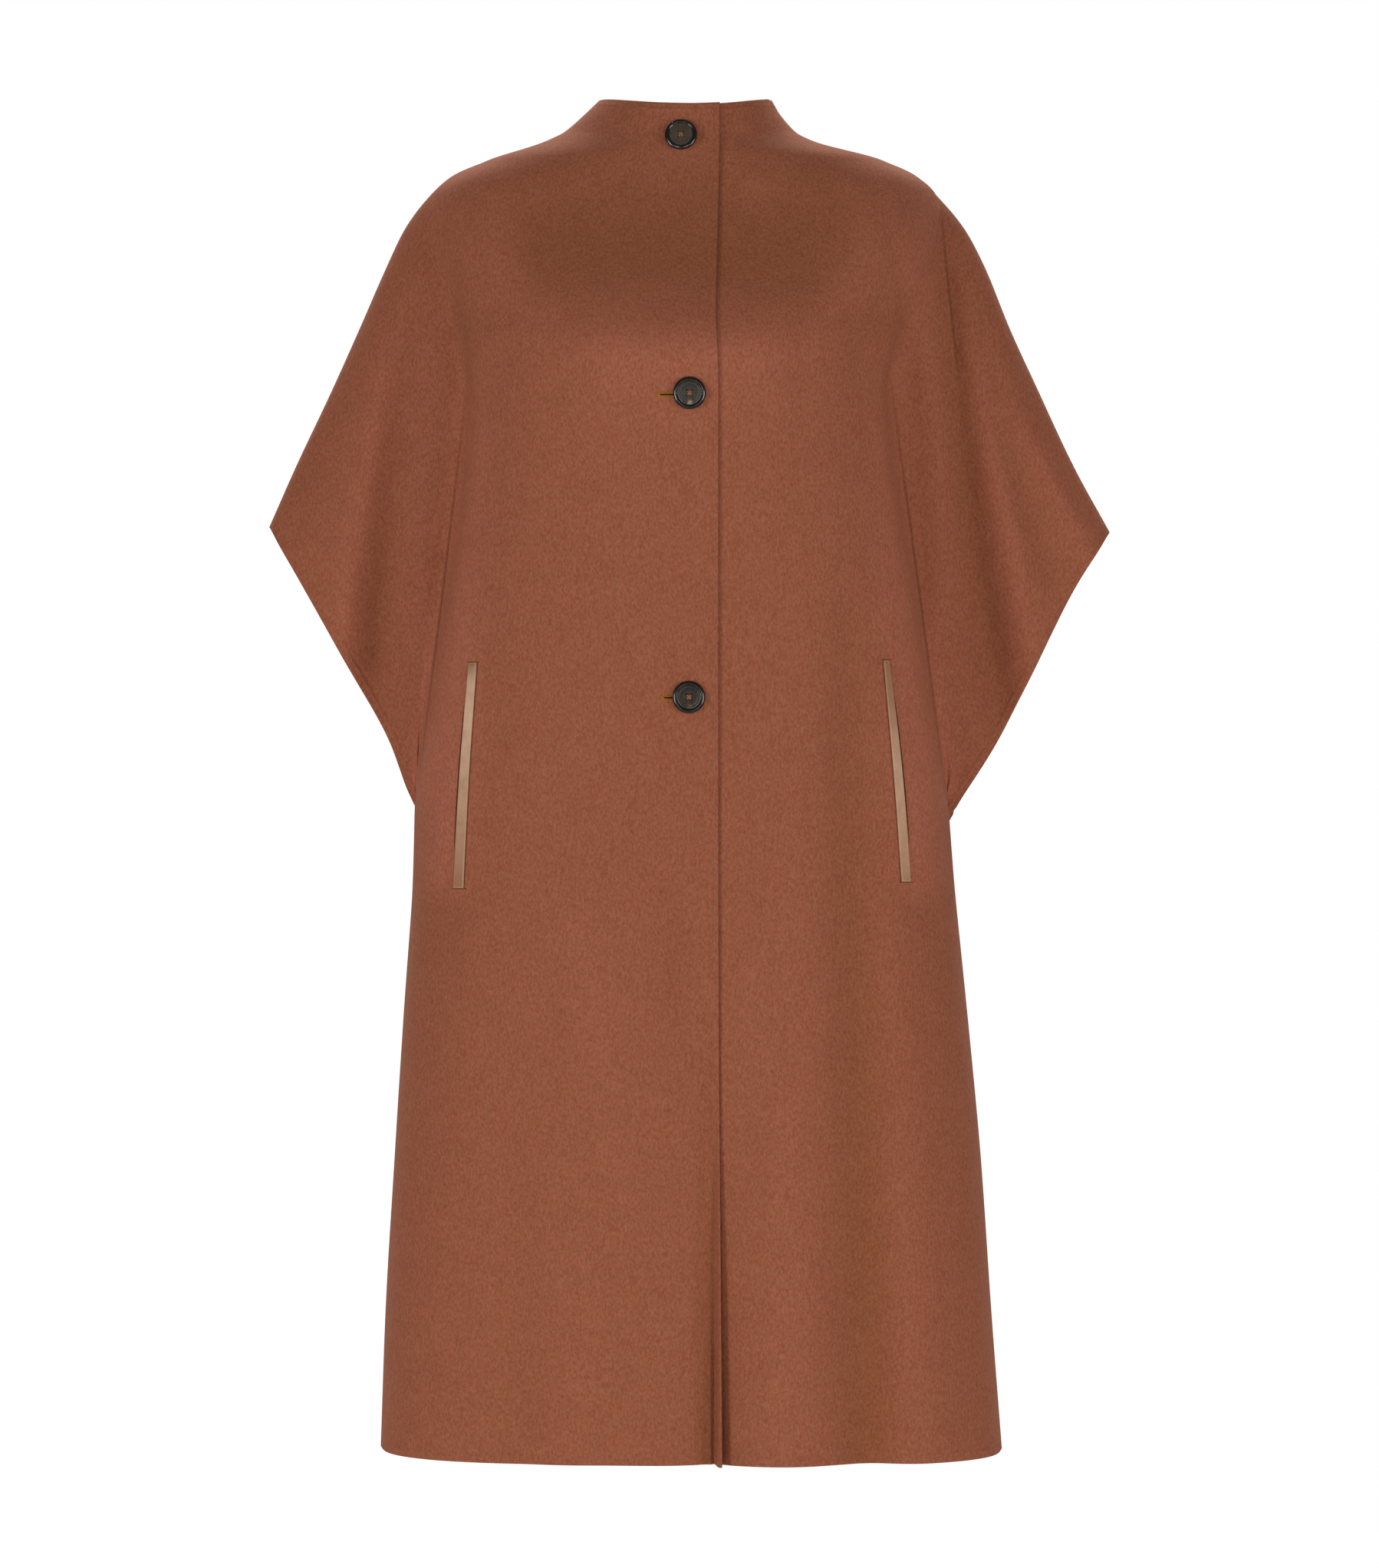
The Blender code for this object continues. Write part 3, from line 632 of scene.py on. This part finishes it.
def brushed_wool():
    """Double-faced wool, milled and brushed.

    The short raised nap hides the weave, so the eye sees a matt surface with fine flecks where
    the fibres lie at different angles, a faint bloom where it turns away, and a sewn line that
    stands up a little along every free edge.
    """
    look = bpy.context.scene.cape_cloth
    material, shader, add, place = new_material("double_faced_brushed_wool")
    # The nap is brushed downwards, so its flecks are longer than they are wide
    nap = add("Mapping", "Vector", {"Vector": place, "Scale": (1.0, 1.0, 0.6)})
    inputs = {"Vector": nap, "Scale": every(look.fleck), "Detail": 3.0, "Roughness": 0.65}
    fleck = add("TexNoise", "Fac", inputs)
    share = add("MapRange", "Result", {"Value": fleck, "From Min": 0.34, "From Max": 0.66})
    dyed = add("Mix", 2, {0: share, 6: opaque(look.wool_deep), 7: opaque(look.wool_pale)}, **MIX)
    # Dyed fibres vary in hue: a few redder, a few more olive, in flecks of about 3 and 4 mm
    for run, size, least, most, hue in (
        (nap, 3.0, 0.5, 0.72, "#A0523F"),
        (place, 4.2, 0.52, 0.74, "#8A603C"),
    ):
        fleck = add("TexNoise", "Fac", {"Vector": run, "Scale": every(size), "Detail": 2.0})
        span = {"From Min": least, "From Max": most, "To Max": 0.25}
        share = add("MapRange", "Result", {"Value": fleck, **span})
        dyed = add("Mix", 2, {0: share, 6: dyed, 7: linear(hue)}, **MIX)
    # Handling leaves slow, faint patches in the nap, about 20 mm across
    patch = add("TexNoise", "Fac", {"Vector": place, "Scale": every(20.0), "Detail": 3.0})
    span = {"From Min": 0.3, "From Max": 0.7, "To Min": 0.97, "To Max": 1.03}
    patch_tone = add("MapRange", "Result", {"Value": patch, **span})
    # Painted light and shade: the crests of the folds are painted paler and the hollows darker and
    # browner
    fold = add("Attribute", "Fac", attribute_name="fold")
    share = add("MapRange", "Result", {"Value": fold, "From Min": -14.0, "From Max": 10.0})
    painted_fold_tone = add("Mix", 2, {0: share, 6: opaque(HOLLOW_PAINTED_SHADE), 7: opaque(CREST_PAINTED_LIGHT)}, **MIX)
    # Painted light: a strip of the body beside the armhole line is painted paler, where it turns
    # away from the lights
    painted_flank_light = add("Attribute", "Fac", attribute_name="painted_flank_light")
    painted_flank_tone = add("MapRange", "Result", {"Value": painted_flank_light, "To Min": 1.0, "To Max": 1.12})
    for tone in (patch_tone, painted_fold_tone, painted_flank_tone):
        dyed = add("Mix", 2, {0: 1.0, 6: dyed, 7: tone}, **MULTIPLY)
    # Painted shade: where a wing leaves the body the cloth is nipped into a fine line, and a dark
    # line is painted along it
    past = add("Attribute", "Fac", attribute_name="past_armhole")
    off_line = add("Math", "Value", {0: past}, operation="ABSOLUTE")
    span = {"From Min": 0.2, "From Max": 1.8, "To Min": 0.42, "To Max": 0.0}
    painted_line_shade = add("MapRange", "Result", {"Value": off_line, **span}, **SMOOTH)
    line_left = add("Attribute", "Fac", attribute_name="armhole_line")
    share = add("Math", "Value", {0: painted_line_shade, 1: line_left}, operation="MULTIPLY")
    dyed = add("Mix", 2, {0: share, 6: dyed, 7: linear("#3E2012")}, **MIX)

    # The sewn line, the felted ground and the raised fibres each lift the surface a little
    edge = add("Attribute", "Fac", attribute_name="edge_distance")
    inside = add("Math", "Value", {0: edge, 1: look.stitch_line}, operation="SUBTRACT")
    off_line = add("Math", "Value", {0: inside}, operation="ABSOLUTE")
    span = {"From Min": 0.0, "From Max": 2.2, "To Min": 1.0, "To Max": 0.0}
    sewn = add("MapRange", "Result", {"Value": off_line, **span}, **SMOOTH)
    felt = add("TexNoise", "Fac", {"Vector": place, "Scale": every(4.0), "Detail": 2.0})
    inputs = {"Vector": nap, "Scale": every(1.1), "Detail": 3.0, "Roughness": 0.7}
    fibre = add("TexNoise", "Fac", inputs)
    raised = {}
    for height, strength, reach in ((sewn, 1.0, 0.35), (felt, 0.5, 0.5), (fibre, 0.6, 0.35)):
        inputs = {"Height": height, "Strength": strength, "Distance": reach * MM, **raised}
        raised = {"Normal": add("Bump", "Normal", inputs)}
    bloom = {"Sheen Weight": 0.07, "Sheen Roughness": 0.5, "Sheen Tint": linear("#E0B49C")}
    finish = {"Roughness": 0.92, "Specular IOR Level": 0.1, **bloom}
    set_inputs(shader, {"Base Color": dyed, **raised, **finish})
    return material


class CAPE_OT_cloth(bpy.types.Operator):
    """Cuts the fronts and the back out in brushed wool, with their creases"""

    bl_idname = "cape.cloth"
    bl_label = "Wool"

    def execute(self, context):
        wool = brushed_wool()
        for node, flat, area in (
            ("right_front", (0.42, 1.06), 0.35),
            ("left_front", (0.42, 1.06), 0.35),
            ("back", (0.80, 1.06), 0.615),
        ):
            mesh = refined(node, CLOTH_THICK)
            note_edge_distance(mesh)
            note_armhole_line(mesh, node)
            round_edges(mesh, CLOTH_INSET)
            drape(mesh, node)
            mesh.shade_smooth()
            piece = show("cloth_" + node, mesh, wool)
            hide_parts(node)
        return {"FINISHED"}


# Pocket welts


def welt_leather(side):
    """Smooth calf leather, vegetable tanned and cut to a narrow strip.

    It has a satin finish with fine pores. Its colour runs from a dark brown at its top end, as
    painted shade, to a paler tan along its length and at its turned edges, as painted highlight.
    """
    look = bpy.context.scene.cape_trim
    material, shader, add, place = new_material("smooth_calf_leather_" + side)
    # Painted highlight and shade: the colour runs from dark at the top end to pale along the length
    along = add("Attribute", "Fac", attribute_name="along_welt")
    painted_light_ramp = add("ValToRGB", "Color", {"Fac": along})
    stops = painted_light_ramp.node.color_ramp.elements
    stops.remove(stops[1])
    for i, (reach, pale) in enumerate(WELT_PAINTED_LIGHT[side]):
        stop = stops.new(reach) if i else stops[0]
        stop.position = reach
        stop.color = opaque((pale,) * 3)
    painted_highlighted = add("Mix", 2, {0: painted_light_ramp, 6: opaque(look.leather), 7: opaque(look.worn_leather)}, **MIX)
    cloud = add("TexNoise", "Fac", {"Vector": place, "Scale": every(9.0), "Detail": 3.0})
    span = {"From Min": 0.3, "From Max": 0.7, "To Min": 0.88, "To Max": 1.12}
    tone = add("MapRange", "Result", {"Value": cloud, **span})
    base = add("Mix", 2, {0: 1.0, 6: painted_highlighted, 7: tone}, **MULTIPLY)
    # Painted highlight: the turned edges are painted paler
    edge = add("Attribute", "Fac", attribute_name="edge_distance")
    span = {"From Min": 0.2, "From Max": 1.6, "To Min": 0.35, "To Max": 0.0}
    painted_light = add("MapRange", "Result", {"Value": edge, **span}, **SMOOTH)
    edged = add("Mix", 2, {0: painted_light, 6: base, 7: linear("#C2A184")}, **MIX)
    pores = add("TexVoronoi", "Distance", {"Vector": place, "Scale": every(0.9)})
    grain = add("Bump", "Normal", {"Height": pores, "Strength": 0.25, "Distance": 0.12 * MM})
    finish = {"Roughness": 0.48, "Specular IOR Level": 0.3}
    set_inputs(shader, {"Base Color": edged, "Normal": grain, **finish})
    return material


def painted_slit_shadow(name, dark, pale):
    """Painted shadow: a dark wool colour for the shade inside a slit, laid on as a thin thread."""
    material, shader, add, place = new_material(name)
    fibre = add("TexNoise", "Fac", {"Vector": place, "Scale": every(1.2), "Detail": 2.0})
    tone = add("Mix", 2, {0: fibre, 6: linear(dark), 7: linear(pale)}, **MIX)
    set_inputs(shader, {"Base Color": tone, "Roughness": 1.0, "Specular IOR Level": 0.0})
    return material


def tubes(name, paths, radius, tapered=False):
    """Round threads along smooth paths, in millimetres, as one closed mesh."""
    curve = bpy.data.curves.new(name, "CURVE")
    curve.dimensions = "3D"
    curve.bevel_depth = radius * MM
    curve.bevel_resolution = 1
    curve.use_fill_caps = True
    for path in paths:
        spline = curve.splines.new("POLY")
        spline.points.add(len(path) - 1)
        for i, (point, place) in enumerate(zip(spline.points, path)):
            point.co = (*(Vector(place) * MM), 1.0)
            if tapered:
                swelled = sin(pi * i / (len(path) - 1))
                point.radius = MOUTH_ENDS + (1.0 - MOUTH_ENDS) * swelled
    mesh = baked(new_object(name, curve))
    mesh.shade_smooth()
    return mesh


def front_tree(node):
    """The dressed front, ready to be asked where its surface is."""
    depsgraph = bpy.context.evaluated_depsgraph_get()
    return BVHTree.FromObject(bpy.data.objects["cloth_" + node], depsgraph)


def on_front(tree, x, z, lift):
    """A point at a height over the cloth's outside, in millimetres."""
    start = Vector((x * MM, -1.0, z * MM))
    place, normal, _, _ = tree.ray_cast(start, Vector((0.0, 1.0, 0.0)))
    if place is None:
        raise RuntimeError(f"there is no cloth at x {x:.1f}, z {z:.1f}")
    return place / MM + normal * lift


def welt_span(line, outer, share):
    """The x of a welt's inner and outer sides at a share of its length, and the z there."""
    x, z, width = (through_three(*values, share) for values in zip(*line))
    inner = x - outer * width / 2
    return inner, inner + outer * width * WELT_SHOWN, z


def dress_welt(mesh, line, outer):
    """Draws a welt in to the width that shows, and writes how far along it each point is."""
    points = read_points(mesh)
    (_, top, _), _, (_, foot, _) = line
    along = np.clip((points[:, 2] / MM - top) / (foot - top), 0.0, 1.0)
    inner, _, _ = welt_span(line, outer, along)
    points[:, 0] = (inner + (points[:, 0] / MM - inner) * WELT_SHOWN) * MM
    write_points(mesh, points)
    write_attribute(mesh, "along_welt", along)


class CAPE_OT_welts(bpy.types.Operator):
    """Lays the leather welts on the fronts, each with a dark thread of painted shadow at its pocket
    mouth and a bar at either end
    """

    bl_idname = "cape.welts"
    bl_label = "Pocket welts"

    def execute(self, context):
        shadow = painted_slit_shadow("painted_shadow_of_pocket_mouth", "#452618", "#643928")
        thread = sewing_thread("welt_thread_polyester", context.scene.cape_trim.welt_thread)
        for side, line in WELTS.items():
            node = "welt_" + side
            outer = -1 if side == "right" else 1
            mesh = refined(node, WELT_THICK)
            note_edge_distance(mesh)
            round_edges(mesh, WELT_INSET)
            dress_welt(mesh, line, outer)
            drape(mesh, side + "_front")
            mesh.shade_smooth()
            piece = show("leather_" + node, mesh, welt_leather(side))
            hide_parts(node)

            cloth = front_tree(side + "_front")
            # Painted shadow: a dark thread beside the welt stands for the shade in the pocket mouth
            path = []
            for share in np.linspace(0.01, 0.99, MOUTH_STEPS):
                _, edge, z = welt_span(line, outer, share)
                path.append(on_front(cloth, edge + outer * MOUTH_PAST, z, -MOUTH_DEPTH))
            mouth = tubes("pocket_mouth_" + side, [path], MOUTH_RADIUS, tapered=True)
            show(mouth.name, mouth, shadow)

            bars = []
            for share, beyond in ((0.0, 1.0), (1.0, -1.0)):
                inner, edge, z = welt_span(line, outer, share)
                over = outer * BAR_OVER
                reach = np.linspace(inner - over, edge + over, BAR_POINTS)
                z += beyond * BAR_RADIUS
                bars.append([on_front(cloth, x, z, BAR_RADIUS * 0.6) for x in reach])
            tacks = tubes("welt_tacks_" + side, bars, BAR_RADIUS)
            show(tacks.name, tacks, thread)
        return {"FINISHED"}


# Buttons


def button_axes(node):
    """Where the middle of a button's back is, and its directions across, up and out."""
    points = np.unique(np.round(read_points(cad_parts[node].data), 6), axis=0)
    middle = points.mean(axis=0)
    outward = Vector(np.linalg.svd(points - middle, full_matrices=False)[2][2])
    if outward.y > 0:
        outward.negate()
    across = (Vector((1.0, 0.0, 0.0)) - outward * outward.x).normalized()
    up = outward.cross(across)
    lowest = min((Vector(point) - Vector(middle)).dot(outward) for point in points)
    return Vector(middle) + outward * lowest, across, up, outward


def turned_button(name):
    """A turned disc with a rounded rim, a groove, a dished face and four holes."""
    shape = bmesh.new()
    outline = [point for part in BUTTON_PROFILE.values() for point in part]
    profile = [shape.verts.new(Vector((out, 0.0, up)) * MM) for out, up in outline]
    edges = [shape.edges.new(pair) for pair in zip(profile, profile[1:])]
    turn = {"axis": (0, 0, 1), "angle": 2 * pi, "steps": BUTTON_STEPS, "use_merge": True}
    bmesh.ops.spin(shape, geom=profile + edges, cent=(0, 0, 0), **turn)
    bmesh.ops.remove_doubles(shape, verts=shape.verts, dist=MERGE_REACH * MM)
    bmesh.ops.recalc_face_normals(shape, faces=shape.faces)
    carrier = new_object(name, new_mesh(name, shape))

    pins = bmesh.new()
    size = {"radius1": HOLE_RADIUS * MM, "radius2": HOLE_RADIUS * MM, "depth": DRILL_LENGTH * MM}
    for side, rise in ((-1, -1), (-1, 1), (1, -1), (1, 1)):
        place = Matrix.Translation(Vector((side, rise, 0.0)) * HOLE_PITCH * MM)
        bmesh.ops.create_cone(pins, cap_ends=True, segments=HOLE_SIDES, matrix=place, **size)
    cutter = new_object(name + "_drill", new_mesh(name + "_drill", pins))
    drilled = carrier.modifiers.new("drill", "BOOLEAN")
    drilled.operation = "DIFFERENCE"
    drilled.solver = "EXACT"
    drilled.object = cutter
    mesh = baked(carrier)
    bpy.data.objects.remove(cutter)
    points = read_points(mesh) / MM
    write_attribute(mesh, "radius", np.hypot(points[:, 0], points[:, 1]))
    mesh.shade_smooth()
    mesh.set_sharp_from_angle(angle=radians(SHARP_ANGLE))
    return mesh


def polished_horn(name, look, face):
    """Buffalo horn, turned and polished, with its dish left duller.

    The rim is nearly black and mirrors the lights. The dish shows the horn's layers as soft
    veins, and on some blanks a pale patch where the layers run out.
    """
    material, shader, add, place = new_material("polished_buffalo_horn_" + name)
    local = add("Mapping", "Vector", {"Vector": place, "Location": tuple(-c for c in face)})
    inputs = {"Vector": local, "Scale": every(4.5), "Detail": 4.0, "Distortion": 1.5}
    layers = add("TexNoise", "Fac", inputs)
    share = add("MapRange", "Result", {"Value": layers, "From Min": 0.4, "From Max": 0.7})
    veined = add("Mix", 2, {0: share, 6: linear(look.dish), 7: linear(look.vein)}, **MIX)
    # The pale patch lies below the holes, near the dish's edge, and has a ragged outline
    middle = {"Location": (-0.3 * MM, 0.0, 6.4 * MM), "Scale": (1.0, 0.2, 0.8)}
    from_patch = add("Mapping", "Vector", {"Vector": local, **middle})
    far = add("VectorMath", "Value", {0: from_patch}, operation="LENGTH")
    ragged = add("TexNoise", "Fac", {"Vector": local, "Scale": every(2.0), "Detail": 2.0})
    ragged_far = add("Math", "Value", {0: ragged, 1: 3.0 * MM, 2: far}, operation="MULTIPLY_ADD")
    span = {"From Min": 2.2 * MM, "From Max": 4.2 * MM, "To Min": look.patch_share, "To Max": 0.0}
    share = add("MapRange", "Result", {"Value": ragged_far, **span}, **SMOOTH)
    patched = add("Mix", 2, {0: share, 6: veined, 7: linear(look.patch)}, **MIX)
    # The dish ends in the groove
    radius = add("Attribute", "Fac", attribute_name="radius")
    span = {"From Min": 8.7, "From Max": 9.0, "To Min": 1.0, "To Max": 0.0}
    dish = add("MapRange", "Result", {"Value": radius, **span}, **SMOOTH)
    coloured = add("Mix", 2, {0: dish, 6: linear(look.rim), 7: patched}, **MIX)
    polish = add("MapRange", "Result", {"Value": dish, "To Min": 0.22, "To Max": 0.31})
    set_inputs(shader, {"Base Color": coloured, "Roughness": polish, "IOR": 1.54})
    return material


def sewing_thread(name, thread_colour):
    """Twisted sewing thread, matt. Its twist is too fine to see, so it is drawn as soft patches."""
    material, shader, add, place = new_material(name)
    twist = add("TexNoise", "Fac", {"Vector": place, "Scale": every(0.8), "Detail": 2.0})
    span = {"From Min": 0.3, "From Max": 0.7, "To Min": 0.7, "To Max": 1.25}
    tone = add("MapRange", "Result", {"Value": twist, **span})
    strand = add("Mix", 2, {0: 1.0, 6: opaque(thread_colour), 7: tone}, **MULTIPLY)
    set_inputs(shader, {"Base Color": strand, "Roughness": 0.75, "Specular IOR Level": 0.25})
    return material


def crossed_threads():
    """Paths of the four threads that cross between a button's holes, two each way."""
    paths = []
    reach = HOLE_PITCH * 2**0.5
    for rise in (-1, 1):
        run = Vector((1.0, rise, 0.0)).normalized()
        top = BUTTON_FACE + THREAD_RADIUS * (0.8 + 0.9 * (rise > 0))
        lip, end = BUTTON_FACE - 0.1, BUTTON_FACE - HOLE_DEPTH
        down = [(THREAD_BEND, top), (THREAD_LIP, lip), (1.0, end)]
        stations = [(-far, up) for far, up in reversed(down)] + [(0.0, top + 0.15)] + down
        for beside in (-1, 1):
            shift = Vector((-run.y, run.x, 0.0)) * beside * THREAD_RADIUS
            paths.append([run * reach * far + shift + Vector((0, 0, up)) for far, up in stations])
    return paths


class CAPE_OT_buttons(bpy.types.Operator):
    """Turns the horn buttons and sews them on"""

    bl_idname = "cape.buttons"
    bl_label = "Buttons"

    def execute(self, context):
        thread = sewing_thread("button_thread_polyester", context.scene.cape_trim.button_thread)
        for key, look in BUTTON_LOOKS.items():
            node = "button_" + key
            back, across, up, outward = button_axes(node)
            x, z = np.array([back.x / MM]), np.array([back.z / MM])
            lift = float(crease_lift("right_front", x, z)[0] + swell_lift("right_front", x, z)[0])
            lifted = Matrix.Translation(back + Vector((0.0, -lift * MM, 0.0)))
            turned = Matrix((across, up, outward)).transposed().to_4x4()
            tilted = Matrix.Rotation(radians(look.tilt_right), 4, "Y")
            tilted @= Matrix.Rotation(radians(look.tilt_up), 4, "X")
            place = lifted @ turned @ tilted
            mesh = turned_button(node)
            mesh.transform(place)
            horn = polished_horn(key, look, place @ Vector((0.0, 0.0, BUTTON_FACE * MM)))
            piece = show("horn_" + node, mesh, horn)
            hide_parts(node)

            sewing = tubes("button_thread_" + key, crossed_threads(), THREAD_RADIUS)
            sewing.transform(place)
            show(sewing.name, sewing, thread)
        return {"FINISHED"}


class CAPE_OT_buttonholes(bpy.types.Operator):
    """Works a buttonhole round each slit: stitches above and below it, and a bar tack"""

    bl_idname = "cape.buttonholes"
    bl_label = "Buttonholes"

    def execute(self, context):
        thread = sewing_thread("buttonhole_thread_silk", context.scene.cape_trim.buttonhole_thread)
        shadow = painted_slit_shadow("painted_shadow_of_buttonhole", "#120D0A", "#2A2019")
        cloth = front_tree("right_front")
        for key, hole in BUTTONHOLES.items():
            # Painted shadow: the slit is a dark thread laid just under the cloth's surface
            ends = (hole.outer_x + SLIT_START, hole.inner_x, SLIT_POINTS)
            slit = [on_front(cloth, x, hole.z, -SLIT_DEPTH) for x in np.linspace(*ends)]
            opening = tubes("buttonhole_slit_" + key, [slit], SLIT_HALF)
            show(opening.name, opening, shadow)

            paths = []
            for i in range(int((hole.inner_x - hole.outer_x) / STITCH_PITCH)):
                x = hole.outer_x + STITCH_START + i * STITCH_PITCH
                for rise in (-1, 1):
                    lean = STITCH_LEAN * sin(i * 2.4 + rise)
                    length = STITCH_LENGTH * (1.0 + STITCH_UNEVEN * sin(i * 1.7 + rise * 2.0))
                    stitch = []
                    for share, height in STITCH_ARCH:
                        z = hole.z + rise * (STITCH_GAP + length * share)
                        stitch.append(on_front(cloth, x + lean * share, z, height))
                    paths.append(stitch)
            for i in range(TACK_THREADS):
                share = i / (TACK_THREADS - 1)
                x = hole.outer_x + TACK_START + TACK_SPREAD * share
                fan = hole.frayed * (1.0 - share) * TACK_FRAY
                half = TACK_HALF + TACK_UNEVEN * sin(i * 2.1)
                bar = []
                for along, height in TACK_ARCH:
                    z = hole.z + half * along
                    bar.append(on_front(cloth, x - fan * abs(along), z, height))
                paths.append(bar)
            stitches = tubes("buttonhole_stitches_" + key, paths, STITCH_RADIUS)
            show(stitches.name, stitches, thread)
        return {"FINISHED"}


# Stage


def softbox(box, side, power):
    light = bpy.data.lights.new(f"{box.name}_softbox_{side:+d}", "AREA")
    light.shape = "RECTANGLE"
    light.size = box.width
    light.size_y = box.height
    light.energy = power
    lamp = new_object(light.name, light)
    lamp.location = (side * box.aside, box.y, box.z)
    facing = Vector(SOFTBOX_TARGET) - lamp.location
    lamp.rotation_euler = facing.to_track_quat("-Z", "Y").to_euler()
    lamp.visible_camera = False


def white_room(strength):
    """A white surround. It is pure white to the camera, dimmer as a light, and dim in gloss."""
    world = bpy.data.worlds.new("white_room")
    bpy.context.scene.world = world
    world.use_nodes = True
    add = partial(add_node, world.node_tree)
    glossy = add("LightPath", "Is Glossy Ray")
    span = {"To Min": strength, "To Max": ROOM_GLOSS}
    lit = add("MapRange", "Result", {"Value": glossy, **span})
    seen = {"Value": glossy.node.outputs["Is Camera Ray"], "To Min": lit, "To Max": 1.0}
    brightness = add("MapRange", "Result", seen)
    white = {"Color": (1.0, 1.0, 1.0, 1.0), "Strength": brightness}
    set_inputs(world.node_tree.nodes["Background"], white)


def pale_floor(height):
    """A plain white floor under the garment that runs out into the white room."""
    shape = bmesh.new()
    bmesh.ops.create_circle(shape, cap_ends=True, segments=FLOOR_SIDES, radius=FLOOR_RADIUS)
    bmesh.ops.translate(shape, verts=shape.verts, vec=(0.0, 0.0, height))
    mesh = new_mesh("floor", shape)
    material, shader, add, place = new_material("matt_white_floor")
    level = {0: place, 1: (1.0, 1.0, 0.0)}
    flat = add("VectorMath", "Vector", level, operation="MULTIPLY")
    far = add("VectorMath", "Value", {0: flat}, operation="LENGTH")
    span = {"From Min": FLOOR_SOLID, "From Max": FLOOR_GONE, "To Min": 1.0, "To Max": 0.0}
    solid = add("MapRange", "Result", {"Value": far, **span}, **SMOOTH)
    set_inputs(shader, {"Base Color": linear("#F6F5F3"), "Alpha": solid, "Roughness": 0.9})
    mesh.materials.append(material)
    floor = new_object("floor", mesh)


class CAPE_OT_stage(bpy.types.Operator):
    """Sets up the floor, the white room, the softboxes and the camera"""

    bl_idname = "cape.stage"
    bl_label = "Stage"

    def execute(self, context):
        scene = context.scene
        stage = scene.cape_stage
        white_room(stage.room_light)
        pale_floor(stage.floor_height)
        for box in SOFTBOXES:
            power = getattr(stage, box.name + "_light")
            for side in (-1, 1):
                softbox(box, side, power * (1.0 - side * stage.key_share))

        lens = bpy.data.cameras.new("camera")
        lens.sensor_width = SENSOR_WIDTH
        lens.lens = LENS_LENGTH
        camera = new_object("camera", lens)
        camera.location = CAMERA_PLACE
        camera.rotation_euler = (radians(90.0), 0.0, 0.0)
        scene.camera = camera
        scene.view_settings.view_transform = "Standard"
        return {"FINISHED"}


class CAPE_PT_dressing(bpy.types.Panel):
    """Lists the steps that dress the cape, with the sizes and colours they take"""

    bl_idname = "CAPE_PT_dressing"
    bl_label = "Wool cape"
    bl_space_type = "VIEW_3D"
    bl_region_type = "UI"
    bl_category = "Cape"

    def draw(self, context):
        for key in GROUPS:
            group = getattr(context.scene, key)
            box = self.layout.box()
            for name in group.__annotations__:
                box.prop(group, name)
        for step in STEPS:
            self.layout.operator(step.bl_idname)


GROUPS = {"cape_cloth": CapeCloth, "cape_trim": CapeTrim, "cape_stage": CapeStage}
STEPS = (CAPE_OT_cloth, CAPE_OT_welts, CAPE_OT_buttons, CAPE_OT_buttonholes, CAPE_OT_stage)


def register():
    for name, group in GROUPS.items():
        bpy.utils.register_class(group)
        setattr(bpy.types.Scene, name, PointerProperty(type=group))
    for step in STEPS:
        bpy.utils.register_class(step)
    bpy.utils.register_class(CAPE_PT_dressing)


def unregister():
    bpy.utils.unregister_class(CAPE_PT_dressing)
    for step in reversed(STEPS):
        bpy.utils.unregister_class(step)
    for name, group in GROUPS.items():
        delattr(bpy.types.Scene, name)
        bpy.utils.unregister_class(group)


def main():
    register()
    bpy.ops.cape.cloth()
    bpy.ops.cape.welts()
    bpy.ops.cape.buttons()
    bpy.ops.cape.buttonholes()
    bpy.ops.cape.stage()


if __name__ == "__main__":
    main()
